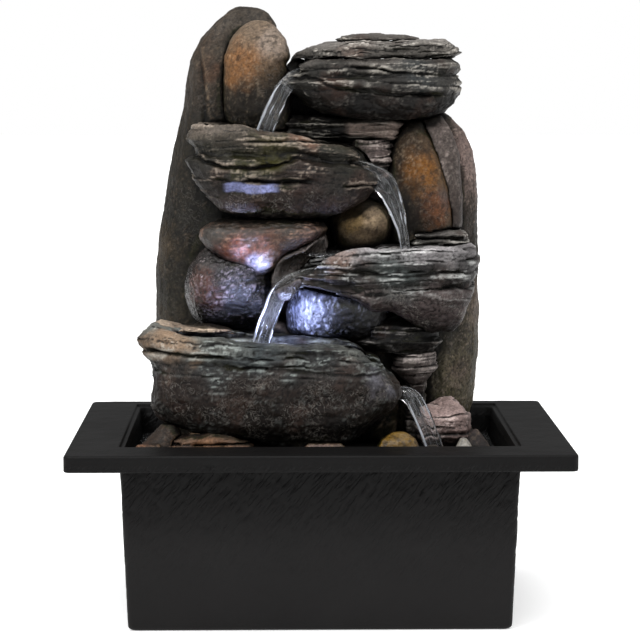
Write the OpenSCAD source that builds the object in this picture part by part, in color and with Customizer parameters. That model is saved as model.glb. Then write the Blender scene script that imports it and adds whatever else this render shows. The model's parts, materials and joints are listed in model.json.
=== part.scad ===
// Tabletop water fountain: a trough-shaped basin, a cast rockwork cascade of four slate bowls that
// lifts out of it, a submersible pump with its rotor and flow regulator, a riser hose and one lamp.
// Millimetres. +Z is up, the cascade faces -Y, and the origin is the middle of the basin's underside.

/* [Basin] */
// Width of the basin's rim
rim_w = 210; // [206:1:216]
// Depth of the basin's rim, front to back
rim_d = 150; // [148:1:154]
// Height of the basin
basin_h = 79; // [77:0.5:81]
// Wall and flange thickness
basin_wall = 2.5; // [2:0.1:3]
// Thickness of the basin's floor
floor_t = 3; // [2.5:0.1:3]
// Width of the flange at the two sides
flange_side = 21.5; // [20:0.5:22]
// Width of the flange at the front
flange_front = 22.5; // [21:0.5:23]
// Width of the flange at the back
flange_back = 8.5; // [7:0.5:9]
// Depth of the skirt that hangs from the flange's edge
skirt_h = 7; // [5:0.5:9]
// Width of the step inside the rim
step_w = 2; // [1:0.1:2.4]
// How far each wall leans in from top to bottom, in degrees
draft = 2.2; // [1.5:0.1:2.4]
// Width of the notch that the mains lead leaves by
notch_w = 9; // [7:0.5:11]

/* [Rockwork] */
// Number of corners in a stone's outline
outline_corners = 24; // [16:2:28]
// Number of corners in a slate bowl's outline
bowl_corners = 32; // [24:2:36]
// Wall thickness of the hollow base casting
base_wall = 5; // [4:0.5:6]
// Gap left at the joint between two stones
joint_gap = 0.15; // [0.1:0.05:0.3]

/* [Pump] */
// Height of the rotor's axis
rotor_z = 22; // [21.5:0.5:23]
// Radius of the rotor's magnet
magnet_r = 5.8; // [5.4:0.1:5.9]
// Radius of the ceramic shaft
shaft_r = 1.2; // [1:0.1:1.3]
// Number of impeller blades
blades = 6; // [4:1:8]
// Travel of the flow regulator
regulator_travel = 8; // [6:0.5:9]
// Outer radius of the outlet spigot
spigot_r = 3.4; // [3.2:0.1:3.5]

/* [Hose and lamp] */
// Outer radius of the riser hose
hose_r = 4.8; // [4.6:0.1:5]
// Radius of the lamp's housing
lamp_r = 6.5; // [6:0.25:7]
// Radius of the lamp's lead
lead_r = 1.3; // [1:0.1:1.4]

/* [Hidden] */
$fn = 48;

overlap = 1;                     // how far a cutter runs past the face that it cuts
running = 0.08;                  // radial clearance of a turning or sliding fit
base_top = 70;                   // level that the lowest stones stand on
bay_top = base_top - base_wall;
hose_x = 14;                     // the riser stands straight above the pump's outlet
hose_y = 30;
hose_bore_r = hose_r + 0.4;
lamp_x = -16;
lamp_y = -20;
lamp_z = 99;                     // level of the lamp's underside
socket_x = 36;
socket_y = 24;
lead_hole_r = lead_r + 0.7;
seat_z = 233.4;                  // level that the spout's flange sits on
spout_flange_r = 8;
lamp_h = 9;
step_drop = 1.2;                 // height of the step inside the rim
notch_x = -40;                   // where the mains lead crosses the rim
arch_h = 10;
socket_top = 48;
case_left = -2;
case_right = 30;
case_front = 24;
case_back = 51;
case_low = floor_t + 6;
case_top = case_low + 28;
chamber_r = 10;
chamber_d = 11;                  // from the case's front face to the back of the blades' chamber
plate_r = 11.5;
plate_t = 2;

// Stones. A stone is a stack of level outlines, each row [z, left, right, front, back].
LEFT_COLUMN = [
    [70.2, -71, -15, 18, 56], [95, -73, -13, 17, 57], [122, -74, -13, 17, 58], [145, -74.1, -14, 17, 58],
    [162, -72, -15, 17, 57], [178, -69.2, -15, 18, 56], [195, -66.5, -15, 18, 56], [206, -63.8, -15, 18, 56],
    [216, -61.2, -15, 19, 55],
    [228, -59.6, -15.5, 20, 54], [239, -57.5, -16, 22, 53], [248, -53, -17, 24, 52],
    [255, -46.6, -18, 27, 50], [260, -41, -21.5, 30, 47], [262, -37, -26, 34, 43]
];
CROWN_BOULDER = [
    [186, -34, -17, 16, 26], [200, -38.5, -13, 12, 30], [216, -41, -11, 9.5, 32], [230, -41.6, -10.5, 9, 33],
    [240, -41, -11, 10, 33], [248, -38, -13.5, 13, 32], [253.5, -33.5, -18, 18, 30], [256, -29, -22.5, 22, 27]
];
RIGHT_COLUMN = [
    [70.2, 33, 66, 18, 56], [85, 31, 70.5, 16, 57], [108, 30, 73, 16, 58], [130, 30, 72.8, 16, 58],
    [152, 30, 72.4, 17, 58], [174, 31, 72.2, 17, 57], [187, 32, 71.6, 18, 57], [198, 32, 69.8, 19, 56],
    [207, 33, 65.8, 21, 54], [214, 36, 59, 25, 50], [217.5, 42, 54, 31, 44]
];
RIDGE_BOULDER = [
    [140, 50, 61, 12, 22], [160, 48, 63, 8, 24], [178, 47, 64, 7, 25], [198, 46, 62, 7, 25],
    [209, 44.5, 58.5, 10, 25], [216.5, 47, 54, 15, 22]
];
AMBER_BOULDER = [
    [146, 36, 58, 9, 24], [156, 32, 60.5, 4, 26], [170, 29.5, 60, 2, 27], [184, 29.5, 57.5, 2, 27],
    [196, 31.5, 54.5, 4, 26], [205, 35, 50, 8, 25], [212, 40, 46, 13, 20]
];
CORE_BLOCK = [
    [70.2, -58, 35, 6, 17], [84, -62, 36, 2, 18], [100, -62, 36, 1, 18], [114, -61, 34, 1, 18],
    [121, -58, 24, 0, 17], [125, -52, 10, 2, 16]
];
HOSE_COVER = [
    [72, -18, 34, 42, 53], [90, -20, 35, 40, 55], [130, -20, 35, 40, 56], [170, -20, 35, 41, 55],
    [200, -22, 38, 40, 54], [212, -24, 42, 38, 53], [222, -22, 44, 38, 52], [230, -18, 46, 40, 51]
];
TIER_1 = [
    [213, 12, 48, 8, 38], [215.5, 0, 56, 3, 42], [219.5, -7, 60.6, -1, 45], [223, -11, 62.4, -3, 46],
    [226.5, -15, 63, -5.5, 46.5], [229, -17, 62.6, -6.5, 46.5], [231, -13, 61, -3.5, 45],
    [234, -14, 63.4, -4, 46], [236.5, -14.5, 62.8, -4.5, 46], [239, -12, 59.5, -1.5, 44]
];
TIER_1_CAP = [
    [237.6, -4, 58, 2, 42], [240.4, -13, 63.6, -3, 45], [242.6, -11, 61.6, -1, 43.5], [245, -5, 59.8, -1, 43],
    [246.8, 4, 56, 3, 41]
];
TIER_1_CREST = [
    [246, 8, 44, 6, 36], [247.6, 6, 46, 4, 38], [249.2, 10, 40, 8, 33], [250, 18, 34, 13, 27]
];
LEDGE_SLATES = [
    [202.5, 8, 34, 16, 28], [204.5, -10, 37, 12, 30], [207, -19, 39, 9, 31], [208.5, -16, 37, 12, 30],
    [210.5, -20, 39, 10, 31], [214, -12, 34, 14, 28]
];
STEPPED_STONE = [
    [176, 22, 34, 9, 22], [181, 18, 37, 5, 24], [184, 17, 35, 7, 24], [188, 15, 37, 4, 25],
    [191, 15, 34.5, 7, 24], [195, 14, 35.5, 5, 25], [199, 14, 33, 8, 25], [204, 15, 31, 10, 24]
];
TIER_2 = [
    [170.5, -34, 4, -8, 14], [173.5, -42.5, 12, -11.5, 18], [178, -48, 20, -13.5, 21],
    [182.5, -52, 24.5, -15, 23], [186.5, -55, 26.6, -16.5, 24], [190, -57.5, 26.8, -17, 24],
    [193.5, -58.6, 25.5, -16.5, 24], [195.5, -54, 24, -12.5, 23], [197.5, -55, 23, -13, 23],
    [200, -58, 22, -15.5, 24], [202.6, -55.5, 20, -14, 23], [204.2, -54, 16, -12, 22]
];
TIER_2_CREST = [[-60, 7], [-36, 7.6], [-26, 4.5], [-8, 3], [-2, -0.6], [11, -2], [18, -4], [25, -9]];
YELLOW_STONE = [
    [153, 11, 28, 7, 20], [159, 7, 31.5, 3, 23], [165, 5, 33.5, 1, 25], [170, 5.5, 33, 1, 25],
    [175, 9, 29.5, 4, 22], [179, 15, 23, 9, 17]
];
RUST_STONE = [
    [151, -36, -22, -10, 6], [154.5, -44, -13, -14, 13], [158.5, -49.5, -5, -17, 16],
    [162.5, -52.6, 2, -17.5, 17], [166, -52, 4.4, -17, 17], [169, -47, 2, -13, 16], [170.4, -38, -8, -7, 12]
];
DARK_BOULDER = [
    [122, -50, -26, -4, 18], [128.5, -56, -21.5, -10, 20], [135, -58.6, -19, -14, 21],
    [142, -59, -18, -15, 22], [150, -56.5, -19.5, -14, 21], [157, -50, -24, -9, 18], [161, -42, -33, -1, 10]
];
SPOUT_STONE = [
    [136, -18, -12, -22, -14], [139.5, -21, -8.5, -25, -4], [145, -21.5, -4, -24, 8], [152, -19, 1, -20, 13],
    [159, -13, 4.5, -13, 15], [164, -6, 3, -6, 10]
];
TIER_3 = [
    [122, 46, 58, -12, 8], [125, 40, 61, -18, 14], [129, 35, 63, -21.5, 19], [133.5, 27, 64.8, -24, 22],
    [137.2, 14, 67, -26, 24], [140.5, -15.5, 68, -27, 25], [142.5, -13, 67, -25, 24.5],
    [145.5, -13, 69.4, -27, 25], [148.5, -10.5, 69, -25.5, 25], [151.5, -9.5, 70.4, -27, 25],
    [154, -7, 69, -25.5, 25], [156.4, -4.5, 69.4, -26, 25], [157.6, -2, 67, -24, 23]
];
TIER_3_CREST = [[-10, -5], [-1, -3.6], [4, -1], [10, 0], [12, 2.2], [28, 1.2], [36, 1], [42, 2], [66, 0.5]];
TIER_3_BACK_SLAB = [
    [156.5, 42, 64, 4, 20], [158.5, 38, 67.5, 0, 23], [160.8, 41, 66, 3, 22], [162.6, 40, 67, 1, 23],
    [165, 46, 63, 6, 19]
];
UNDERLIT_BOULDER = [
    [112, -4, 18, -4, 14], [116.5, -11, 26, -10, 18], [123, -14.5, 31, -15, 20], [131, -15, 32.5, -17.5, 21],
    [137.5, -13, 29, -17.5, 18], [143, -9, 22, -12, 14], [147, -4, 12, -5, 10]
];
SLATE_STACK = [
    [112.4, 20, 50, -10, 20], [114.6, 16, 53, -13, 21], [117.5, 13, 54, -15, 22], [120, 17, 52, -12, 21],
    [124, 14, 53, -14, 22], [128, 22, 50, -8, 18]
];
PIER_STONE = [
    [70.2, 40, 50, 4, 18], [80, 41, 49.5, 4, 19], [90, 42, 49.5, 2, 19], [96, 41.5, 49.5, -2, 19],
    [100, 39, 50.5, -6, 20], [104.5, 37, 52, -9, 20], [108.5, 36.4, 52.5, -10.5, 20], [112, 36, 53, -11, 20]
];
TIER_4 = [
    [70.2, -14, 5, -31, -8], [75.5, -25, 11, -38, -4], [79.5, -36, 17, -42, -2], [83, -59, 21.5, -44, -1],
    [87, -68.4, 26, -46, 0], [92, -71, 31, -47, 0],
    [97, -71.6, 35.2, -47.5, 0.5], [102, -71.6, 34.5, -48, 0.5],
    [107, -71.8, 30.5, -48, 0.5], [111, -73.6, 28, -47, 0.5], [114, -77.6, 25.5, -48, 0.5],
    [116.5, -78, 21, -46, 0.5], [118.4, -75, 19.5, -46.5, 0], [120, -72, 13, -44, -1]
];
TIER_4_CREST = [[-76, 1.5], [-66, 4], [-46, 3.4], [-36, 1.5], [-26, 0], [8, 0], [20, -3]];
TIER_4_BACK_SLAB = [
    [118.4, -70, -42, -16, -2], [120.6, -74.5, -37, -22, 0], [122.8, -73, -35, -20, 0],
    [124.8, -69, -39, -16, -1], [126, -62, -48, -10, -3]
];
FRONT_FLAT_STONE = [
    [70.2, -58, -30, -43, -30], [74.5, -64, -26, -48, -26], [79.5, -62.5, -28, -47, -27],
    [83.6, -54, -36, -42, -32]
];
CORNER_STONES = [
    [[70.2, -77.5, -60, -44, -28], [76, -76.5, -59, -44, -27], [81.5, -71, -58, -41, -29],
     [86, -66.5, -59.5, -38, -31]],
    [[70.2, -78.5, -66, -47, -41], [74.5, -79.2, -65, -47.4, -40.6], [78.4, -77, -67, -46, -42]]
];
BED_PEBBLES = [
    [[70.2, 26, 40, -44, -34], [75, 23, 42.5, -47, -32], [80, 25.5, 40.5, -45.5, -33],
     [82.8, 30.5, 36, -41, -37]],
    [[70.2, 58, 64, -39, -31], [75, 57, 65.5, -40, -30], [79.6, 59.5, 62.5, -37, -33]],
    [[70.2, 45, 52, -38, -29], [73, 43.5, 53, -39, -28], [76, 46, 50.5, -36, -31]],
    [[70.2, -8, 12, -46, -40], [75, -10, 14, -47.4, -39], [78.8, -5, 9, -45.4, -41]]
];
SIDE_ROCK = [
    [70.2, 46, 64, -20, 4], [75, 43.5, 66.5, -23, 8], [80, 42, 67, -24, 9], [85.5, 43.5, 66.5, -21, 8],
    [89.5, 48, 63.5, -16, 6], [92.5, 53, 59, -10, 1]
];
FOOT_STONE = [
    [70.2, 61, 72, -31, -24.5], [75, 60.5, 73.2, -33, -24], [79, 62.5, 70.5, -31, -25],
    [82.5, 65, 68, -29, -26.5]
];

// Hollows and channels that the water runs in: the level that each is open to, then [x, y, z, radius]
// of the balls whose hull it is.
WATERWAYS = [
    [239.1, [[44, 22, 246, 14], [8, 22, 246, 14], [-4, 12, 240, 8], [-24, 0, 237, 6]]],
    [212, [[-42, 2, 204, 11], [-2, 2, 202.5, 11], [12, 0, 197, 7], [36, -5, 191.5, 6]]],
    [166, [[52, -9, 162, 12], [14, -9, 161, 12], [-2, -14, 151, 6.5], [-26, -21, 146, 6]]],
    [124, [[-50, -24, 121, 12], [-2, -24, 119, 12], [14, -26, 111, 7], [44, -33, 106, 6]]]
];

// The lamp's lead, from the lamp down through the lowest bowl, under the base's roof and to its plug:
// [share of the way from the lamp to the plug, z].
LEAD_RUN = [
    [0, 103], [0, 98], [0, 92], [0, 86], [0, 80], [0, 74], [0, 69], [0, 65], [0.02, 62], [0.06, 60.4],
    [0.12, 60], [0.25, 60], [0.38, 60], [0.51, 60],
    [0.64, 60], [0.77, 60], [0.88, 60.4], [0.95, 61.6], [0.99, 60.6],
    [1, 58.5], [1, 56.3]
];

// The stones in the order that they are laid: [name, outlines, depth of the surface's waves, squareness,
// twist of the waves per mm of height, slope along X, crest line, number of corners]. Each stone is cut to
// the ones laid before it, so no two of them share a place.
LAID = [
    ["tier_1_bowl", TIER_1, 2, 4, 1, 0, [[0, 0]], bowl_corners],
    ["tier_2_bowl", TIER_2, 2, 4, 1, 0, TIER_2_CREST, bowl_corners],
    ["tier_3_bowl", TIER_3, 2, 4, 1, 0.02, TIER_3_CREST, bowl_corners],
    ["tier_4_bowl", TIER_4, 2, 4, 1, 0, TIER_4_CREST, bowl_corners],
    ["tier_1_cap", TIER_1_CAP, 3, 4, 1, 0.03, [[0, 0]], outline_corners],
    ["tier_1_crest", TIER_1_CREST, 3, 3, 1, 0, [[0, 0]], outline_corners],
    ["tier_3_back_slab", TIER_3_BACK_SLAB, 2, 4, 1, 0, [[0, 0]], outline_corners],
    ["tier_4_back_slab", TIER_4_BACK_SLAB, 2, 4, 1, 0, [[0, 0]], outline_corners],
    ["rust_stone", RUST_STONE, 3, 3, 0.02, 0, [[0, 0]], outline_corners],
    ["underlit_boulder", UNDERLIT_BOULDER, 2, 2.4, 0.02, 0, [[0, 0]], outline_corners],
    ["spout_stone", SPOUT_STONE, 2, 2.6, 0.02, 0, [[0, 0]], outline_corners],
    ["dark_boulder", DARK_BOULDER, 2, 2.4, 0.02, 0, [[0, 0]], outline_corners],
    ["yellow_stone", YELLOW_STONE, 1, 2.2, 0.02, 0, [[0, 0]], outline_corners],
    ["crown_boulder", CROWN_BOULDER, 1, 2.4, 0.02, 0, [[0, 0]], outline_corners],
    ["amber_boulder", AMBER_BOULDER, 1, 2.4, 0.02, 0, [[0, 0]], outline_corners],
    ["slate_stack", SLATE_STACK, 2, 4, 1, 0, [[0, 0]], outline_corners],
    ["pier_stone", PIER_STONE, 2, 3, 1, 0, [[0, 0]], outline_corners],
    ["stepped_stone", STEPPED_STONE, 2, 3, 1, 0, [[0, 0]], outline_corners],
    ["ledge_slates", LEDGE_SLATES, 2, 4, 1, 0, [[0, 0]], outline_corners],
    ["ridge_boulder", RIDGE_BOULDER, 1, 2.6, 0.02, 0, [[0, 0]], outline_corners],
    ["front_flat_stone", FRONT_FLAT_STONE, 3, 3, 0.05, 0, [[0, 0]], outline_corners],
    ["side_rock", SIDE_ROCK, 3, 3, 0.05, 0, [[0, 0]], outline_corners],
    ["foot_stone", FOOT_STONE, 1, 2.6, 0.05, 0, [[0, 0]], outline_corners],
    ["core_block", CORE_BLOCK, 3, 4, 0.3, 0, [[0, 0]], outline_corners],
    ["left_column", LEFT_COLUMN, 4, 2.8, 0.01, 0, [[0, 0]], outline_corners],
    ["right_column", RIGHT_COLUMN, 4, 2.8, 0.01, 0, [[0, 0]], outline_corners],
    ["hose_cover", HOSE_COVER, 2, 4, 0.02, 0, [[0, 0]], outline_corners]
];

// ---- Stones ----

// A repeating bump between about -1 and 1 at angle a.
function wave(a, phase) =
    (sin(3 * a + 57 * phase) + 0.6 * sin(5 * a + 131 * phase) + 0.4 * sin(8 * a + 23 * phase)) / 2;

// How far up the stack a level lies, from 0 at the lowest row to 1 at the highest.
function share_up(z, rows) = (z - rows[0][0]) / (rows[len(rows) - 1][0] - rows[0][0]);

// One corner, at angle a, of a row's outline: a rounded rectangle with a wavy edge.
function corner(row, rows, a, waves, square, twist, slope, crest, grow) =
    let (
        reach = 1 / pow(pow(abs(cos(a)), square) + pow(abs(sin(a)), square), 1 / square),
        bump = grow + waves * (wave(a, row[0] * twist) - 0.5) / 2,
        mid_x = (row[1] + row[2]) / 2,
        x = mid_x + ((row[2] - row[1]) / 2 + bump) * reach * cos(a),
        y = (row[3] + row[4]) / 2 + ((row[4] - row[3]) / 2 + bump) * reach * sin(a),
        rise = share_up(row[0], rows)
    )
    [x, y, row[0] + slope * (x - mid_x) + lookup(x, crest) * pow(rise, 3) + grow * (2 * rise - 1)];

function mean(points) = [for (i = [0:2]) [for (p = points) p[i]] * [for (p = points) 1] / len(points)];

// A closed body through a stack of outlines that all have the same number of corners.
module stack(rings) {
    count = len(rings);
    corners = len(rings[0]);
    sides = [for (i = [0:count - 2], k = [0:corners - 1])
        let (near = i * corners + k, next = i * corners + (k + 1) % corners)
        each [[near, next + corners, next], [near, near + corners, next + corners]]];
    low_mid = count * corners;
    low = [for (k = [0:corners - 1]) [low_mid, k, (k + 1) % corners]];
    top_row = (count - 1) * corners;
    high = [for (k = [0:corners - 1]) [low_mid + 1, top_row + (k + 1) % corners, top_row + k]];
    polyhedron(
        points = concat([for (ring = rings) each ring], [mean(rings[0]), mean(rings[count - 1])]),
        faces = concat(sides, low, high)
    );
}

module stone(rows, waves, square, twist, slope, crest, corners, grow = 0) {
    stack([for (row = rows) [for (k = [0:corners - 1])
        corner(row, rows, 360 * k / corners, waves, square, twist, slope, crest, grow)]]);
}

module laid_stone(i, grow = 0) {
    s = LAID[i];
    stone(s[1], s[2], s[3], s[4], s[5], s[6], s[7], grow);
}

// The water's hollows and channels, each open upwards to its own level.
module waterways() {
    for (way = WATERWAYS)
        intersection() {
            for (i = [0:len(way[1]) - 2])
                hull()
                    for (ball = [way[1][i], way[1][i + 1]])
                        translate([ball.x, ball.y, ball.z]) sphere(r = ball[3], $fn = 20);
            translate([-rim_w / 2, -rim_d / 2, 0]) cube([rim_w, rim_d, way[0]]);
        }
}

// Bores through the rockwork: the riser hose, its spout's seat, and the lamp's pocket and lead.
module service_bores() {
    translate([hose_x, hose_y, base_top - overlap]) cylinder(r = hose_bore_r, h = 165, $fn = 24);
    translate([hose_x, hose_y, seat_z]) cylinder(r = spout_flange_r + 0.5, h = 5.5, $fn = 24);
    translate([lamp_x, lamp_y, lamp_z]) cylinder(r = lamp_r + 0.3, h = 30, $fn = 24);
    translate([lamp_x, lamp_y, base_top - overlap])
        cylinder(r = lead_hole_r, h = lamp_z - base_top + 2 * overlap, $fn = 24);
}

// A stone in its place: cut to the stones laid before it, to the water and to the service bores. Its size
// is kept; it comes out as one closed body.
module bedded(name) {
    place = search([name], LAID)[0];
    resize([0, 0, 0])
        difference() {
            laid_stone(place);
            for (i = [0:1:place - 1]) laid_stone(i, joint_gap);
            waterways();
            service_bores();
        }
}

module left_column() { color([0.36, 0.29, 0.24]) bedded("left_column"); }
module crown_boulder() { color([0.68, 0.49, 0.33]) bedded("crown_boulder"); }
module right_column() { color([0.40, 0.32, 0.27]) bedded("right_column"); }
module ridge_boulder() { color([0.44, 0.34, 0.29]) bedded("ridge_boulder"); }
module amber_boulder() { color([0.55, 0.40, 0.20]) bedded("amber_boulder"); }
module core_block() { color([0.16, 0.14, 0.13]) bedded("core_block"); }
module hose_cover() { color([0.34, 0.28, 0.24]) bedded("hose_cover"); }
module tier_1_bowl() { color([0.33, 0.33, 0.32]) bedded("tier_1_bowl"); }
module tier_1_cap() { color([0.40, 0.39, 0.37]) bedded("tier_1_cap"); }
module tier_1_crest() { color([0.43, 0.39, 0.37]) bedded("tier_1_crest"); }
module ledge_slates() { color([0.27, 0.25, 0.24]) bedded("ledge_slates"); }
module stepped_stone() { color([0.42, 0.33, 0.31]) bedded("stepped_stone"); }
module tier_2_bowl() { color([0.36, 0.34, 0.32]) bedded("tier_2_bowl"); }
module yellow_stone() { color([0.56, 0.46, 0.26]) bedded("yellow_stone"); }
module rust_stone() { color([0.46, 0.27, 0.18]) bedded("rust_stone"); }
module dark_boulder() { color([0.25, 0.22, 0.26]) bedded("dark_boulder"); }
module spout_stone() { color([0.29, 0.26, 0.24]) bedded("spout_stone"); }
module tier_3_bowl() { color([0.37, 0.35, 0.33]) bedded("tier_3_bowl"); }
module tier_3_back_slab() { color([0.39, 0.38, 0.36]) bedded("tier_3_back_slab"); }
module underlit_boulder() { color([0.42, 0.45, 0.60]) bedded("underlit_boulder"); }
module slate_stack() { color([0.26, 0.25, 0.25]) bedded("slate_stack"); }
module pier_stone() { color([0.40, 0.33, 0.31]) bedded("pier_stone"); }
module tier_4_bowl() { color([0.34, 0.31, 0.29]) bedded("tier_4_bowl"); }
module tier_4_back_slab() { color([0.43, 0.34, 0.28]) bedded("tier_4_back_slab"); }
module front_flat_stone() { color([0.42, 0.32, 0.29]) bedded("front_flat_stone"); }
module side_rock() { color([0.45, 0.34, 0.32]) bedded("side_rock"); }
module foot_stone() { color([0.24, 0.22, 0.22]) bedded("foot_stone"); }

// Small loose-looking stones, each cut to the large ones beside it.
module small_stones(groups) {
    resize([0, 0, 0])
        difference() {
            for (rows = groups) stone(rows, 0.6, 2.4, 0.05, 0, [[0, 0]], outline_corners / 2);
            for (i = [0:len(LAID) - 1]) laid_stone(i, joint_gap);
        }
}

module corner_stones() { color([0.38, 0.31, 0.27]) small_stones(CORNER_STONES); }
module bed_pebbles() { color([0.50, 0.43, 0.26]) small_stones(BED_PEBBLES); }

// ---- Basin ----

// A box with upright rounded corners.
module rounded_box(low, high, r) {
    translate([low.x, low.y, low.z])
        linear_extrude(high.z - low.z)
            union() {
                translate([r, 0]) square([high.x - low.x - 2 * r, high.y - low.y]);
                translate([0, r]) square([high.x - low.x, high.y - low.y - 2 * r]);
                for (x = [r, high.x - low.x - r], y = [r, high.y - low.y - r])
                    translate([x, y]) circle(r = r, $fn = 32);
            }
}

// A box between z_low and z_high whose four sides lean in towards the floor. The side faces pass through
// +/-half_x, front and back at the basin's top.
module leaning_box(half_x, front, back, z_low, z_high) {
    in_low = (basin_h - z_low) * tan(draft);
    in_high = (basin_h - z_high) * tan(draft);
    intersection() {
        translate([0, rim_d, 0])
            rotate([90, 0, 0])
                linear_extrude(2 * rim_d)
                    polygon([[in_low - half_x, z_low], [half_x - in_low, z_low],
                             [half_x - in_high, z_high], [in_high - half_x, z_high]]);
        translate([-rim_w, 0, 0])
            rotate([90, 0, 90])
                linear_extrude(2 * rim_w)
                    polygon([[front + in_low, z_low], [back - in_low, z_low],
                             [back - in_high, z_high], [front + in_high, z_high]]);
    }
}

module basin() {
    edge = [rim_w / 2, rim_d / 2];
    // the flat rim's inner edges, and the well's walls just inside them
    flat = [edge.x - flange_side, flange_front - edge.y, edge.y - flange_back];
    wall_x = flat.x - step_w + basin_wall;
    wall_front = flat.y + step_w - basin_wall;
    wall_back = flat.z - step_w + basin_wall;
    color([0.10, 0.10, 0.10])
        difference() {
            union() {
                leaning_box(wall_x, wall_front, wall_back, 0, basin_h - basin_wall);
                rounded_box([-edge.x, -edge.y, basin_h - skirt_h], [edge.x, edge.y, basin_h], 3);
            }
            leaning_box(wall_x - basin_wall, wall_front + basin_wall, wall_back - basin_wall,
                floor_t, basin_h + overlap);
            translate([-flat.x, flat.y, basin_h - step_drop])
                cube([2 * flat.x, flat.z - flat.y, step_drop + overlap]);
            // the hollow under the flange, between the wall and the skirt
            difference() {
                rounded_box([basin_wall - edge.x, basin_wall - edge.y, basin_h - skirt_h - overlap],
                    [edge.x - basin_wall, edge.y - basin_wall, basin_h - basin_wall - step_drop], 1.5);
                leaning_box(wall_x, wall_front, wall_back, 0, basin_h);
            }
            translate([notch_x, wall_back - 2 * basin_wall, basin_h - skirt_h])
                rotate([-90, 0, 0])
                    cylinder(d = notch_w, h = flange_back + 4 * basin_wall);
            translate([notch_x - notch_w / 2, wall_back - 2 * basin_wall, basin_h - skirt_h])
                cube([notch_w, flange_back + 4 * basin_wall, skirt_h + overlap]);
        }
}

// ---- Hollow base of the rockwork ----

// The base's plan, wider at the front where the small stones lie.
module base_plan(inset) {
    polygon([
        [inset - 76, inset - 47], [75 - inset, inset - 47], [75 - inset, -20 - inset],
        [72.5 - inset, -15 - inset], [72.5 - inset, 58 - inset], [inset - 73, 58 - inset],
        [inset - 73, -20 - inset], [inset - 76, -25 - inset]
    ]);
}

module rock_base() {
    color([0.17, 0.15, 0.14])
        difference() {
            translate([0, 0, floor_t + 0.1]) linear_extrude(base_top - floor_t - 0.1) base_plan(0);
            translate([0, 0, floor_t - overlap])
                linear_extrude(bay_top - floor_t + overlap) base_plan(base_wall);
            // arches that let the water in, at the front, the sides and the back
            for (x = [-45, -15, 15, 45])
                translate([x, -50, arch_h]) rotate([-90, 0, 0]) cylinder(r = 8, h = 12);
            for (x = [-45, -15, 15, 45])
                translate([x - 8, -50, 0]) cube([16, 12, arch_h]);
            for (y = [0, 35])
                translate([-80, y - 8, 0]) cube([160, 16, arch_h]);
            translate([notch_x - 10, 50, 0]) cube([20, 12, arch_h + 8]);
            translate([hose_x, hose_y, bay_top - overlap])
                cylinder(r = hose_bore_r, h = base_wall + 2 * overlap);
            translate([lamp_x, lamp_y, bay_top - overlap])
                cylinder(r = lead_hole_r, h = base_wall + 2 * overlap);
        }
}

// ---- Riser hose, lamp and lead ----

module riser_hose() {
    color([0.80, 0.82, 0.83, 0.6])
        translate([hose_x, hose_y, case_top + 1])
            difference() {
                cylinder(r = hose_r, h = seat_z - case_top - 1);
                translate([0, 0, -overlap]) cylinder(r = spigot_r + running, h = seat_z);
            }
}

module hose_spout() {
    color([0.12, 0.12, 0.12])
        translate([hose_x, hose_y, seat_z])
            difference() {
                union() {
                    cylinder(r = spout_flange_r, h = 2);
                    cylinder(r = spigot_r + 0.8, h = 4.5);
                    translate([0, 0, -10]) cylinder(r = spigot_r, h = 11);
                }
                translate([0, 0, -12]) cylinder(r = spigot_r - 1.2, h = 20);
            }
}

module lamp_housing() {
    color([0.10, 0.10, 0.11])
        translate([lamp_x, lamp_y, lamp_z])
            difference() {
                cylinder(r = lamp_r, h = lamp_h);
                translate([0, 0, 2]) cylinder(r = lamp_r - 1, h = lamp_h);
                translate([0, 0, -overlap]) cylinder(r = lead_r + 0.05, h = 4);
            }
}

module lamp_lens() {
    color([0.85, 0.92, 1.0])
        translate([lamp_x, lamp_y, lamp_z + lamp_h - 3])
            union() {
                cylinder(r = lamp_r - 1.05, h = 3);
                intersection() {
                    translate([0, 0, -8]) sphere(r = 12.2);
                    translate([0, 0, 3]) cylinder(r = lamp_r - 1.05, h = 4);
                }
            }
}

// A round tube of radius r along a route of points that lie in an upright plane, across which it is given.
module tube(route, across, r, sides) {
    last = len(route) - 1;
    function unit(v) = v / norm(v);
    function way(i) = unit(route[min(i + 1, last)] - route[max(i - 1, 0)]);
    rings = [for (i = [0:last])
        let (side = unit(cross(way(i), across)))
        [for (k = [0:sides - 1]) route[i]
            + r * (cos(360 * k / sides) * across + sin(360 * k / sides) * side)]];
    stack(rings);
}

module lamp_lead() {
    from = [lamp_x, lamp_y];
    to = [socket_x, socket_y];
    across = [to.y - from.y, from.x - to.x, 0] / norm(to - from);
    color([0.06, 0.06, 0.06])
        tube([for (step = LEAD_RUN) [each (from + step[0] * (to - from)), step[1]]], across, lead_r, 8);
}

module lamp_plug() {
    color([0.09, 0.09, 0.09])
        translate([socket_x, socket_y, socket_top + 0.3])
            union() {
                cylinder(r = 4.5, h = 8);
                translate([0, 0, -7]) cylinder(r = 2.5, h = 8);
            }
}

module lead_clips() {
    color([0.75, 0.75, 0.72])
        for (share = [0.35, 0.7])
            translate([lamp_x + share * (socket_x - lamp_x),
                lamp_y + share * (socket_y - lamp_y), bay_top - 8])
                rotate([0, 0, atan2(socket_y - lamp_y, socket_x - lamp_x)])
                    difference() {
                        translate([-2, -4, 0]) cube([4, 8, 8]);
                        translate([-5, 0, 3]) rotate([0, 90, 0]) cylinder(r = lead_r + 0.3, h = 10, $fn = 24);
                    }
}

module lamp_socket() {
    color([0.11, 0.11, 0.12])
        difference() {
            rounded_box([socket_x - 5.5, socket_y - 6, floor_t],
                [socket_x + 5.5, socket_y + 6, socket_top], 1.5);
            translate([socket_x, socket_y, socket_top - 8.5]) cylinder(r = 2.5 + running, h = 10);
        }
}

// ---- Pump ----
// The rotor turns about a line parallel to Y. Its blades stand under the outlet, in the chamber that the
// plate closes; the magnet runs in the case's well behind them.

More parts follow.
